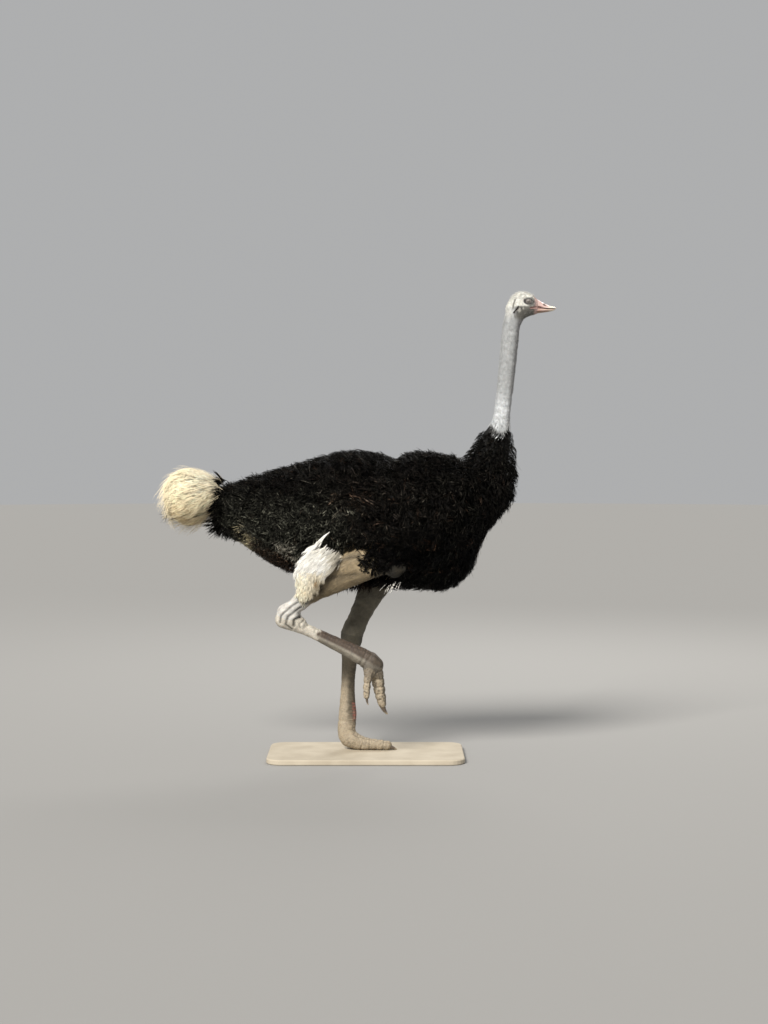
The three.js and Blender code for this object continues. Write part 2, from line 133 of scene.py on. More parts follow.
BLACK = linear("#070605")
BLACK_BROWN = linear("#1d140e")
BLACK_OLIVE = linear("#1a1a16")
DOWN_BUFF = linear("#7c745d")
DOWN_GREY = linear("#66635a")
NECK_GREY = linear("#a5a7a8")
NECK_FRONT_SHADE = linear("#6c6b6c")
NECK_COLLAR = linear("#c9ccce")
CROWN_CREAM = linear("#d3d2ca")
CHEEK_GREY = linear("#64625c")
EAR_PALE = linear("#bcb9b1")
LID_GREY = linear("#3d3b3d")
GAPE_PINK = linear("#98736c")
LORE_PINK = linear("#a98f88")
# painted shade in the ear's opening
EAR_SHADE = linear("#433d3a")
THIGH_TAN = linear("#8f7f63")
THIGH_GREY = linear("#7d6f56")
THIGH_CREAM = linear("#d9cfb8")
SHIN_GREY = linear("#c3c0ba")
HOCK_DARK = linear("#4f4c4d")
# the shin's olive grey, darkened as painted shade from the body
SHADED_SHIN_OLIVE = linear("#5e594c")
SHANK_WHITE = linear("#c9c2b4")
# mauve, darkened as painted shade from the body
SHADED_SHANK_MAUVE = linear("#50443a")
SHANK_OLIVE = linear("#5b5345")
SCUTE_RED = linear("#a5655b")
FOOT_BEIGE = linear("#9e917c")
FOOT_DARK = linear("#5b5348")
PLUME_CREAM = linear("#fdf1d6")
TAIL_CREAM = linear("#ffeec8")
PLUME_WHITE = linear("#fcf9f0")
PLUME_BUFF = linear("#f6d6a2")
PLUME_BROWN = linear("#9a7d55")
BRISTLE_TIP = linear("#f1efe9")
LASH_BLACK = linear("#151110")
IRIS_DARK = linear("#524d49")
# grey as a painted reflection of the sky over the eye's dark brown
IRIS_SKY_GREY = linear("#6c6763")
IRIS_EDGE = linear("#4b4745")
HORN_ROSE = linear("#c8aca5")
HORN_DEEP = linear("#b58f88")
HORN_CREAM = linear("#e6dcc4")
HORN_LIT = linear("#f0ddd2")
HORN_BROWN = linear("#8d6c52")
HORN_PALE = linear("#d9bfae")
HORN_ROOT = linear("#8a7a76")
# a painted highlight on the top of the ridge
HORN_RIDGE_HIGHLIGHT = linear("#d8c2ba")
# painted shade in the nostril's slit
NOSTRIL_SHADE = linear("#2c1b18")
# painted shade in the gap between the jaws
MOUTH_SHADE = linear("#3c231d")
CLAW_DARK = linear("#5a4f43")
CLAW_WORN = linear("#9a8d78")
PAINT_LOW = linear("#a89d8a")
PAINT_HIGH = linear("#bab09d")
FLOOR_GREY = linear("#949391")
SKY_WHITE = linear("#f1f2f3")

# ---- small tools


def smooth(low, high, value):
    """0 below low, 1 above high, and a smooth step between them."""
    t = np.clip((value - low) / (high - low), 0, 1)
    return t * t * (3 - 2 * t)


def bell(off, width):
    """1 where off is 0, falling away smoothly on both sides."""
    return np.exp(-((off / width) ** 2))


def unit(v):
    return v / np.maximum(np.linalg.norm(v, axis=-1, keepdims=True), 1e-9)


def mix(a, b, share):
    """From a to b, by a share for each place."""
    return a + (b - a) * np.asarray(share)[..., None]


def flat_to(direction, normals):
    """Directions laid flat on a surface."""
    return unit(direction - normals * (direction * normals).sum(-1, keepdims=True))


def values_of(rows, name, each, kind=np.float32):
    """One property of each row of a mesh, as an array with `each` numbers to a row."""
    flat = np.empty(len(rows) * each, kind)
    rows.foreach_get(name, flat)
    return flat.reshape(-1, each)


def places_of(mesh):
    return values_of(mesh.vertices, "co", 3).astype(float)


def normals_of(mesh):
    return values_of(mesh.vertices, "normal", 3).astype(float)


def set_places(mesh, places):
    mesh.vertices.foreach_set("co", places.astype(np.float32).ravel())
    mesh.update()


def lumps(places, size, seed):
    """Soft noise from -1 to 1 whose lumps are about `size` across, the same at each run."""
    draws = np.random.default_rng(seed)
    waves = unit(draws.normal(size=(7, 3))) * (2 * math.pi / size) * draws.uniform(0.6, 1.4, (7, 1))
    phases = draws.uniform(0, 2 * math.pi, 7)
    return np.sin(places @ waves.T + phases).sum(1) / 4


def shaded_smooth(mesh):
    mesh.polygons.foreach_set("use_smooth", np.ones(len(mesh.polygons), bool))


def new_object(name, mesh):
    made = bpy.data.objects.new(name, mesh)
    bpy.context.scene.collection.objects.link(made)
    return made


def with_modifier(obj, kind, **settings):
    """Applies one modifier to an object's mesh."""
    modifier = obj.modifiers.new(kind, kind)
    for key, value in settings.items():
        setattr(modifier, key, value)
    graph = bpy.context.evaluated_depsgraph_get()
    mesh = bpy.data.meshes.new_from_object(obj.evaluated_get(graph))
    obj.modifiers.clear()
    old = obj.data
    obj.data = mesh
    bpy.data.meshes.remove(old)
    return obj


def stepped(obj, factors):
    """Moves each vertex towards the middle of its neighbours by each factor in turn, or away from
    it where a factor is negative."""
    mesh = obj.data
    a, b = values_of(mesh.edges, "vertices", 2, np.int32).T
    places = places_of(mesh)
    count = len(places)
    ends = np.maximum(np.bincount(a, minlength=count) + np.bincount(b, minlength=count), 1)
    for factor in factors:
        middle = np.empty_like(places)
        for k in range(3):
            total = np.bincount(a, places[b, k], count) + np.bincount(b, places[a, k], count)
            middle[:, k] = total / ends
        places += (middle - places) * factor
    set_places(mesh, places)
    return obj


def evened(obj, rounds):
    """Smooths away facets without shrinking the shape: one step in, then one step out."""
    return stepped(obj, (0.6, -0.62) * rounds)


def merged_copy(node):
    """A copy of a CAD node whose loose triangles are joined."""
    mesh = NODES[node].data.copy()
    mesh.materials.clear()
    bm = bmesh.new()
    bm.from_mesh(mesh)
    bmesh.ops.remove_doubles(bm, verts=bm.verts, dist=0.02 * MM)
    bm.to_mesh(mesh)
    bm.free()
    return new_object(f"{node}_copy", mesh)


def ball_at(name, centre, sizes, turns=32):
    """A round filler, as wide as its three half sizes."""
    bm = bmesh.new()
    matrix = Matrix.Translation(centre) @ Matrix.Diagonal((*sizes, 1))
    bmesh.ops.create_uvsphere(bm, u_segments=turns, v_segments=turns // 2, radius=1, matrix=matrix)
    mesh = bpy.data.meshes.new(name)
    bm.to_mesh(mesh)
    bm.free()
    return new_object(name, mesh)


def joined(name, objects):
    """One object of all these meshes."""
    bm = bmesh.new()
    for obj in objects:
        bm.from_mesh(obj.data)
        bpy.data.objects.remove(obj)
    mesh = bpy.data.meshes.new(name)
    bm.to_mesh(mesh)
    bm.free()
    return new_object(name, mesh)


def tree_of(obj):
    bm = bmesh.new()
    bm.from_mesh(obj.data)
    bmesh.ops.triangulate(bm, faces=bm.faces)
    tree = BVHTree.FromBMesh(bm)
    bm.free()
    return tree


def nearest(tree, places):
    """The nearest point of a surface to each place, and its normal."""
    found = [tree.find_nearest(p)[:2] for p in places.tolist()]
    return np.array([f[0] for f in found]), np.array([f[1] for f in found])


# ---- places on the limbs


def limb_line(name):
    """A limb's middle line in metres, with its half sizes."""
    rows = np.array(LIMBS[name]) * MM
    rows[:, 2] += SOLE
    return rows


def beside_limb(places, name):
    """For each place: its distance from the limb's line as a share of the limb's size, how far
    along the line it lies in metres, and its angle round the line, where 0 is the limb's front."""
    rows = limb_line(name)
    best = np.full(len(places), 1e9)
    along = np.zeros(len(places))
    angle = np.zeros(len(places))
    start = 0
    for low, high in zip(rows[:-1], rows[1:]):
        step = high[:3] - low[:3]
        length = np.linalg.norm(step)
        way = step / length
        t = np.clip((places - low[:3]) @ step / length**2, 0, 1)
        off = places - (low[:3] + t[:, None] * step)
        front = unit(np.array([-way[2], 0, way[0]]))
        ahead, across = off @ front, off @ np.cross(way, front)
        deep = low[3] + (high[3] - low[3]) * t
        wide = low[4] + (high[4] - low[4]) * t
        share = np.linalg.norm(off, axis=1) / np.sqrt(deep * wide)
        closer = share < best
        best = np.where(closer, share, best)
        along = np.where(closer, start + t * length, along)
        angle = np.where(closer, np.arctan2(across, ahead), angle)
        start += length
    return best, along, angle


def limb_places(places):
    """The limb that each place is on, or -1, with its way along and round that limb."""
    found = [beside_limb(places, name) for name in LIMB_NAMES]
    shares = np.array([f[0] for f in found])
    which = shares.argmin(0)
    take = lambda k: np.choose(which, [f[k] for f in found])
    on_leg = shares.min(0) < 1.5
    return np.where(on_leg, which, -1), take(1), take(2)


def on_limb(which, *names):
    """Where the limb of each place is one of these."""
    return np.isin(which, [LIMB_NAMES.index(name) for name in names])


# ---- the body's outer form and skin


def coat_depth(places):
    """How far the skin lies inside the plumage."""
    x, z = places[:, 0], places[:, 2]
    depth = np.full(len(places), COAT_DEPTH)
    depth += (RUMP_DEPTH - COAT_DEPTH) * smooth(-0.55, -0.70, x)
    on_neck = smooth(PLUMAGE_END - 0.22, PLUMAGE_END + 0.01, z) * (x > 0.4)
    return depth + (NECK_DEPTH - depth) * on_neck


def outer_form(name, nodes):
    """The smooth outline of these nodes together."""
    hull = joined(name, [merged_copy(n) for n in nodes])
    with_modifier(hull, "REMESH", mode="VOXEL", voxel_size=BODY_VOXEL)
    evened(hull, 12)
    places = places_of(hull.data)
    dip = bell(places[:, 0] - DIP_X, 0.030) * smooth(1.28, 1.36, places[:, 2] - SOLE)
    places[:, 2] -= dip * DIP_DEEP
    set_places(hull.data, places)
    return hull


def body_core(hull):
    """The body inside the plumage: the hull, pressed in by the coat's depth in small steps."""
    core = new_object("core", hull.data.copy())
    places, normals = places_of(core.data), normals_of(core.data)
    depth = coat_depth(places)
    for _ in range(PRESS_STEPS):
        set_places(core.data, places - normals * (depth / PRESS_STEPS)[:, None])
        with_modifier(core, "SMOOTH", factor=0.5, iterations=3)
        places, normals = places_of(core.data), normals_of(core.data)
    return core


def thigh_fill(side):
    """The part of the thigh inside the plumage, as a row of overlapping rounds."""
    rows = limb_line(f"thigh_{side}")[:4]
    fill = []
    for low, high in zip(rows[:-1], rows[1:]):
        for t in np.arange(0, 1, 0.25):
            x, y, z, deep, wide = low + (high - low) * t
            sizes = (deep * 0.9, wide * 0.96, deep * 0.97)
            fill.append(ball_at(f"thigh_fill_{side}", (x, y, z), sizes))
    return fill


# Flesh that fills the joints, as balls: a centre in millimetres above the sole and a half size.
JOINT_FLESH = [
    (-330, -152, 632, 40), (-345, -152, 655, 40), (-300, -150, 606, 33),  # the lifted hock
    (46, -124, 416, 37), (22, -134, 404, 38), (36, -124, 388, 36), (52, -116, 372, 32),  # its foot
    (12, -152, 372, 23), (58, -112, 336, 30), (64, -110, 300, 28), (70, -109, 264, 24),
    (8, -168, 352, 21), (5, -172, 318, 20), (5, -175, 292, 17),
    (-68, 84, 530, 52), (-62, 80, 560, 46),  # the standing hock
    (-90, 52, 66, 42), (-78, 48, 52, 42), (-62, 44, 44, 41), (-84, 62, 44, 36),  # its foot
    (40, 33, 27, 27), (70, 31, 25, 25), (98, 29, 22, 22), (-72, 74, 38, 32),
]
# Where the skin is rounded over, so that the solids under it don't show: a centre in millimetres
# above the sole, and a radius.
BLENDS = [
    (-352, -152, 640, 95), (30, -128, 408, 95), (60, -112, 320, 60), (6, -168, 330, 60),
    (-64, 84, 535, 95), (-80, 52, 66, 95), (40, 33, 24, 60), (712, 0, 1990, 60), (760, 0, 2040, 26),
    (-230, -166, 762, 90), (622, 0, 1560, 120), (655, 0, 1960, 80),
]


def blended(skin):
    """Rounds the skin over at its joints."""
    places = places_of(skin.data)
    share = np.zeros(len(places))
    for x, y, z, radius in BLENDS:
        away = np.linalg.norm(places - np.array([x * MM, y * MM, z * MM + SOLE]), axis=1)
        share = np.maximum(share, smooth(1.0, 0.6, away / (radius * MM)))
    return stepped(skin, [0.5 * share[:, None]] * 22)


def whole_skin(hull):
    """The closed skin of all the flesh together."""
    parts = [body_core(hull)]
    for x, y, z, size in JOINT_FLESH:
        centre = (x * MM, y * MM, z * MM + SOLE)
        parts.append(ball_at("joint_flesh", centre, (size * MM,) * 3))
    # the soft throat under the jaw
    parts.append(ball_at("throat", (0.694, 0, SOLE + 1.986), (24 * MM, 30 * MM, 26 * MM)))
    for side, sign in SIDES.items():
        parts += thigh_fill(side)
        parts += [merged_copy(f"{n}_{side}") for n in ("thigh", "shank", "toe_inner", "toe_outer")]
        centre = (EYE_CENTRE.x, sign * EYE_CENTRE.y, EYE_CENTRE.z)
        parts.append(ball_at(f"orbit_{side}", centre, (EYE_RADIUS,) * 3))
        for node in ("shank", "toe_inner", "toe_outer"):
            x, y, z, deep, wide = limb_line(f"{node}_{side}")[0]
            size = min(deep, wide) * 0.94
            parts.append(ball_at(f"joint_{node}_{side}", (x, y, z), (size,) * 3))
    for node in ("neck_lower", "neck_upper", "head", "bill_upper", "bill_lower"):
        parts.append(merged_copy(node))
    skin = joined("skin", parts)
    with_modifier(skin, "REMESH", mode="VOXEL", voxel_size=SKIN_VOXEL)
    evened(skin, 10)
    return blended(skin)


def thinned(skin, hull_tree):
    """Fewer faces on the skin where deep plumage covers it."""
    places = places_of(skin.data)
    deep = (places[:, 2] > SOLE + 0.72) & (places[:, 2] < PLUMAGE_END - 0.03) & (places[:, 0] > -0.75)
    found, _ = nearest(hull_tree, places[deep])
    covered = np.zeros(len(places), bool)
    covered[deep] = np.linalg.norm(found - places[deep], axis=1) > 12 * MM
    group = skin.vertex_groups.new(name="covered")
    group.add(np.flatnonzero(covered).tolist(), 1.0, "REPLACE")
    ratio = 1 - 0.93 * covered.mean()
    with_modifier(skin, "DECIMATE", ratio=ratio, vertex_group="covered", vertex_group_factor=1000)
    skin.vertex_groups.clear()
    return skin


def finer(skin, test):
    """Cuts the edges in two where a test of their places says so."""
    bm = bmesh.new()
    bm.from_mesh(skin.data)
    bm.verts.ensure_lookup_table()
    chosen = test(np.array([v.co for v in bm.verts]))
    edges = [e for e in bm.edges if chosen[e.verts[0].index] and chosen[e.verts[1].index]]
    bmesh.ops.subdivide_edges(bm, edges=edges, cuts=1, use_grid_fill=True)
    bmesh.ops.triangulate(bm, faces=[f for f in bm.faces if len(f.verts) > 4])
    bm.to_mesh(skin.data)
    bm.free()
    return skin


def on_head(places):
    return (places[:, 0] > 0.60) & (places[:, 2] > SOLE + 1.975)


def on_feet(places):
    foot_right = (places[:, 0] > -0.03) & (places[:, 2] < SOLE + 0.46) & (places[:, 1] < -0.07)
    foot_left = (places[:, 2] < SOLE + 0.13) & (places[:, 1] > -0.01)
    return foot_right | foot_left


def round_eyes(places):
    return eye_share(places)[0] < 2.2


def eye_share(places):
    """How far each place is from the middle of its eye's opening, where 1 is the edge."""
    side = np.sign(places[:, 1])
    across = places[:, 0] - EYE_CENTRE.x + EYE_BACK
    up = places[:, 2] - EYE_CENTRE.z - EYE_UP
    along = across * math.cos(EYE_TILT) - up * math.sin(EYE_TILT)
    high = across * math.sin(EYE_TILT) + up * math.cos(EYE_TILT)
    off_side = np.abs(places[:, 1]) < 0.020
    share = np.hypot(along / EYE_OPENING[0], high / EYE_OPENING[1])
    return share + off_side * 9, along, high, side


def ear_reach(places):
    """How far each place is from the slit of its ear, where 1 is the edge of the opening."""
    reach = line_distance(places[:, [0, 2]], EAR) / EAR_HALF_WIDTH
    return reach + (np.abs(places[:, 1]) < 0.02) * 9


# ---- fine shape of the skin


def line_distance(points, line):
    """The distance in a plane from each point to a line through several points."""
    best = np.full(len(points), 1e9)
    for a, b in zip(np.array(line[:-1]), np.array(line[1:])):
        step = b - a
        t = np.clip((points - a) @ step / (step @ step), 0, 1)
        best = np.minimum(best, np.linalg.norm(points - a - t[:, None] * step, axis=1))
    return best


def inside_line(flat, line):
    """Which places of a plane lie inside an outline."""
    inside = np.zeros(len(flat), bool)
    line = np.array(line + line[:1])
    for (x0, z0), (x1, z1) in zip(line[:-1], line[1:]):
        if z0 != z1:
            at = x0 + (flat[:, 1] - z0) / (z1 - z0) * (x1 - x0)
            inside ^= ((flat[:, 1] < z0) != (flat[:, 1] < z1)) & (flat[:, 0] < at)
    return inside


# Creases seen from the side: the side, the line as [x, z] above the sole, its half width and its
# depth in millimetres. A negative depth is a ridge.
CREASES = [
    ("right", [(-124, 894), (-92, 906), (-60, 912), (-24, 922)], 7, 6),
    ("right", [(-180, 822), (-120, 826), (-60, 836), (-10, 842)], 9, 5),
    ("right", [(-214, 800), (-196, 770), (-206, 742)], 8, 5),
    ("right", [(-265, 731), (-333, 690), (-383, 645), (-387, 613)], 4.5, 6),
    ("right", [(-242, 722), (-301, 677), (-351, 640), (-360, 604), (-333, 582)], 4.5, 6),
    ("right", [(-206, 704), (-261, 663), (-292, 640)], 4.5, 5),
    ("right", [(-292, 642), (-322, 626), (-324, 598)], 6, 7),
    ("right", [(-276, 626), (-300, 606), (-296, 590)], 4, 4),
    ("right", [(-252, 608), (-274, 592)], 4, 3),
    ("left", [(-108, 560), (-118, 500), (-108, 440)], 5, 4),
    ("left", [(-30, 540), (-44, 500), (-38, 468)], 5, 4),
    ("left", [(-92, 548), (-64, 556), (-30, 548)], 4, 3),
    ("left", [(-98, 528), (-66, 536), (-34, 526)], 4, 3),
    ("left", [(-104, 506), (-70, 512), (-40, 504)], 4, 3),
    ("left", [(-128, 62), (-96, 74), (-54, 72)], 4, 4),
    ("left", [(-130, 84), (-98, 96), (-52, 92)], 4, 3),
    ("left", [(-126, 108), (-98, 116), (-50, 112)], 4, 2.5),
    ("left", [(-134, 40), (-110, 48), (-84, 40)], 4, 3),
]

# Folds across a limb: the limb, how far along it in millimetres, half width and depth.
FOLDS = [
    ("toe_inner_left", 44, 4, 3), ("toe_inner_left", 78, 4, 2.5), ("toe_inner_left", 110, 4, 2.5),
    ("toe_inner_left", 140, 4, 2.5), ("toe_outer_left", 34, 4, 2.5), ("toe_outer_left", 62, 4, 2.5),
    ("toe_inner_right", 10, 5, 3.5), ("toe_inner_right", 46, 5, 3), ("toe_inner_right", 84, 5, 3.5),
    ("toe_inner_right", 116, 4, 3), ("toe_inner_right", 142, 4, 2.5), ("toe_outer_right", 22, 4, 3),
    ("toe_outer_right", 54, 4, 3), ("toe_outer_right", 84, 4, 2), ("shank_right", 404, 6, 3),
    ("shank_right", 424, 6, 3), ("shank_left", 384, 6, 2.5),
]


def creased(places, normals, limbs):
    """The folds and grooves of the bare skin, pressed in along the normals."""
    press = np.zeros(len(places))
    for side, line, width, depth in CREASES:
        sign = SIDES[side]
        facing = smooth(0.05, 0.45, normals[:, 1] * sign) * (places[:, 1] * sign > 0.02)
        raised = [(x * MM, z * MM + SOLE) for x, z in line]
        press += facing * bell(line_distance(places[:, [0, 2]], raised), width * MM) * depth * MM
    grooves = press.copy()
    which, along, angle = limbs
    for name, at, width, depth in FOLDS:
        mine = on_limb(which, name)
        under = 0.6 + 0.4 * smooth(-0.5, 0.5, -np.cos(angle))
        press += mine * under * bell(along - at * MM, width * MM) * depth * MM
    # the plates down the front of each shank and over each toe stand a little proud of each other
    for name, pitch in (("shank_right", 13), ("shank_left", 13), ("toe_inner_left", 8)):
        mine = on_limb(which, name) * smooth(0.2, 0.8, np.cos(angle))
        press += mine * 0.7 * MM * (along / (pitch * MM) % 1)
    # loose skin on the thighs and the shin
    on_thigh = on_limb(which, "thigh_right", "thigh_left")
    press += on_thigh * (lumps(places, 0.045, 5) * 2.2 + lumps(places, 0.016, 6) * 0.8) * MM
    under = on_thigh * smooth(0.0, -0.030, bare_depth(places)) * smooth(0.74, 0.80, places[:, 2] - SOLE)
    press += under * 16 * MM
    # the lower outline of the lifted thigh, drawn up to the line of its tendon
    x, z = places[:, 0], places[:, 2] - SOLE
    line = np.interp(x, [-0.248, -0.118, 0.02, 0.10], [0.700, 0.757, 0.822, 0.85])
    drawn = on_limb(which, "thigh_right") * smooth(-0.26, -0.20, x) * smooth(0.14, 0.08, x)
    lift = drawn * np.clip(line - z, 0, 0.05) * 0.75
    on_shank = on_limb(which, "shank_right", "shank_left")
    press += on_shank * lumps(places * [1, 1, 0.4], 0.02, 7) * 0.8 * MM
    on_toes = on_limb(which, *[name for name in LIMB_NAMES if name.startswith("toe")])
    press += on_toes * lumps(places, 0.013, 8) * 0.8 * MM
    places = places - normals * press[:, None]
    places[:, 2] += lift
    return places, np.clip(grooves / (5 * MM), 0, 1)


def head_shaped(places, normals):
    """Eye openings with lids and a brow, cheeks, ears, the gape and the neck's soft rings."""
    share, along, high, side = eye_share(places)
    near = share < 2.3
    centre = np.stack([np.full(len(places), EYE_CENTRE.x), side * EYE_CENTRE.y,
                       np.full(len(places), EYE_CENTRE.z)], 1)
    out = places - centre
    reach = np.linalg.norm(out, axis=1)
    lid = EYE_RADIUS + 2.6 * MM
    inside = EYE_RADIUS - 3.5 * MM
    wanted = inside + (lid - inside) * smooth(0.90, 1.06, share)
    wanted = wanted + (reach - wanted) * smooth(1.35, 2.05, share)
    groove = bell(share - 1.52, 0.12) * 1.8 * MM * (0.6 + 0.4 * np.sign(high))
    wanted = wanted - groove
    shaped = centre + unit(out) * wanted[:, None]
    places = np.where(near[:, None], shaped, places)
    # a brow above the eye and a hollow before it
    brow = np.exp(-((along / (24 * MM)) ** 2) - (((high - 24 * MM) / (7 * MM)) ** 2))
    hollow = np.exp(-(((along - 27 * MM) / (8 * MM)) ** 2) - (((high + 2 * MM) / (9 * MM)) ** 2))
    cheek = np.exp(-(((along + 8 * MM) / (26 * MM)) ** 2) - (((high + 34 * MM) / (13 * MM)) ** 2))
    press = hollow * 3.0 * MM - brow * 3.2 * MM - cheek * 2.5 * MM
    # the ear: a slanted slit with a raised rim
    ear = ear_reach(places)
    press += (1 - smooth(0.45, 1.15, ear)) * 6 * MM
    press -= bell(ear - 1.9, 0.6) * 1.8 * MM
    # a soft groove from the back of the crown down behind the ear
    nape = line_distance(places[:, [0, 2]], NAPE)
    press += bell(nape, 4 * MM) * 1.6 * MM * (np.abs(places[:, 1]) > 0.02)
    # the corner of the mouth runs back under the eye
    gape = line_distance(places[:, [0, 2]], GAPE)
    sideways = np.abs(places[:, 1]) > 0.015
    press += sideways * bell(gape, 2.2 * MM) * 3.2 * MM
    press -= sideways * bell(gape - 5 * MM, 2.5 * MM) * 1.0 * MM
    # under the bill's horn the skin draws in
    x = places[:, 0]
    drawn = smooth(0.782, 0.794, x) * (places[:, 2] > SOLE + 1.98)
    middle = np.interp(x, [0.775, 0.82, 0.87], [2.048, 2.043, 2.038]) + SOLE
    places[:, 1] *= 1 - 0.25 * drawn
    places[:, 2] += (middle - places[:, 2]) * 0.25 * drawn
    places[:, 0] -= drawn * np.maximum(x - 0.79, 0) * 0.3
    on_neck = (places[:, 2] > PLUMAGE_END) & (places[:, 2] < SOLE + 1.98)
    rings = lumps(places * [0.35, 0.35, 1.0], 0.030, 9) * 1.0 + lumps(places, 0.05, 10) * 0.8
    press += on_neck * rings * MM
    return places - normals * press[:, None]


def shaped_skin(skin):
    """The fine shape: more faces where it is needed, then the folds, the head and a flat sole."""
    finer(skin, on_head)
    finer(skin, on_feet)
    finer(skin, round_eyes)
    places = places_of(skin.data)
    limbs = limb_places(places)
    places, grooves = creased(places, normals_of(skin.data), limbs)
    # how deep each crease is, kept for the painted shade in it
    store(skin.data, "groove", np.repeat(grooves[:, None], 3, 1))
    set_places(skin.data, places)
    set_places(skin.data, head_shaped(places, normals_of(skin.data)))
    # nothing of the sole goes below the top of the base
    places = places_of(skin.data)
    places[:, 2] = np.maximum(places[:, 2], SOLE + 0.2 * MM)
    set_places(skin.data, places)
    return skin


# ---- markings, for skin and coat


def pale_down(places):
    """The share of pale down under the rear of the body, from 0 to 1, and the part of it that is
    under the tail."""
    x, z = places[:, 0], places[:, 2] - SOLE
    under_tail = smooth(-0.588, -0.572, x) * smooth(-0.512, -0.528, x) * smooth(1.010, 0.995, z)
    stripe = line_distance(np.stack([x, z], 1), [(-0.405, 0.945), (-0.365, 0.925), (-0.29, 0.888)])
    belly = smooth(0.028, 0.014, stripe + 0.3 * lumps(places, 0.04, 25) * 0.02)
    return np.maximum(under_tail, belly * 0.85), under_tail


def plumage_edge(places):
    """How far each place is above the edge of the black plumage on the neck, which dips in the
    middle of each side."""
    off = np.abs(places[:, 0] - 0.618) / 0.048
    return places[:, 2] - (PLUMAGE_END - 0.024 + 0.044 * np.clip(off, 0, 1.1) ** 2)


def body_colour(places):
    """Warm black over the back, olive black at the rear, and pale down under it, with painted shade under
    the belly, low on the chest and over the top of the back.
    """
    x, z = places[:, 0], places[:, 2] - SOLE
    olive = smooth(-0.2, 0.9, lumps(places, 0.09, 21))
    brown = np.exp(-(((x + 0.03) / 0.10) ** 2) - (((z - 1.15) / 0.07) ** 2)) * 0.6
    rear = smooth(0.02, -0.22, x) * smooth(1.24, 1.08, z)
    body = mix(BLACK, BLACK_OLIVE, 0.15 * olive + 0.85 * rear)
    # painted shade: darker under the belly and low on the chest
    under = 0.85 * smooth(1.08, 0.92, z) * smooth(-0.05, 0.15, x)
    breast = 0.3 * smooth(1.25, 1.1, z) * smooth(0.35, 0.5, x)
    body = body * (1 - under - breast)[:, None]
    # painted shade: darker over the top of the back
    body = body * (1 - 0.35 * smooth(1.26, 1.36, z) * smooth(0.45, 0.40, x))[:, None]
    body = mix(body, BLACK_BROWN, np.clip(brown * smooth(-0.2, 0.8, lumps(places, 0.03, 22)), 0, 1))
    down, under_tail = pale_down(places)
    down_colour = mix(DOWN_GREY, DOWN_BUFF, under_tail)
    down_colour = down_colour * (1 + 0.45 * smooth(-0.38, -0.31, x))[:, None]
    body = mix(body, down_colour, down)
    # brown-black below the stripe of pale down
    line = np.interp(x, [-0.50, -0.365, -0.25], [0.955, 0.905, 0.850])
    below = smooth(0.010, -0.010, z - line) * smooth(-0.53, -0.49, x) * smooth(-0.2, -0.25, x)
    return mix(body, BLACK_BROWN, 0.8 * below)


def neck_colour(places):
    """Blue-grey, darker along the front as painted shade, and whiter over the black collar."""
    x, z = places[:, 0], places[:, 2] - SOLE
    heights = [1.50, 1.62, 1.75, 1.875, 1.968, 2.036]
    middle = np.interp(z, heights, [0.618, 0.632, 0.646, 0.658, 0.667, 0.682])
    front = smooth(0.010, 0.034, x - middle)
    # painted shade: the front of the neck is darkened
    neck = mix(NECK_GREY, NECK_FRONT_SHADE, 0.8 * front)
    return mix(neck, NECK_COLLAR, smooth(1.70, 1.57, z) * (1 - 0.6 * front))


# Small marks round the ear: the middle as [x, z] above the sole, half sizes, colour and strength.
EAR_MARKS = (
    ((0.7006, 2.0295), (0.0080, 0.0115), EAR_PALE, 0.9),
    ((0.7190, 2.0364), (0.0050, 0.0060), EAR_PALE, 0.6),
    ((0.7095, 2.0385), (0.0042, 0.0070), LID_GREY, 0.7),
)


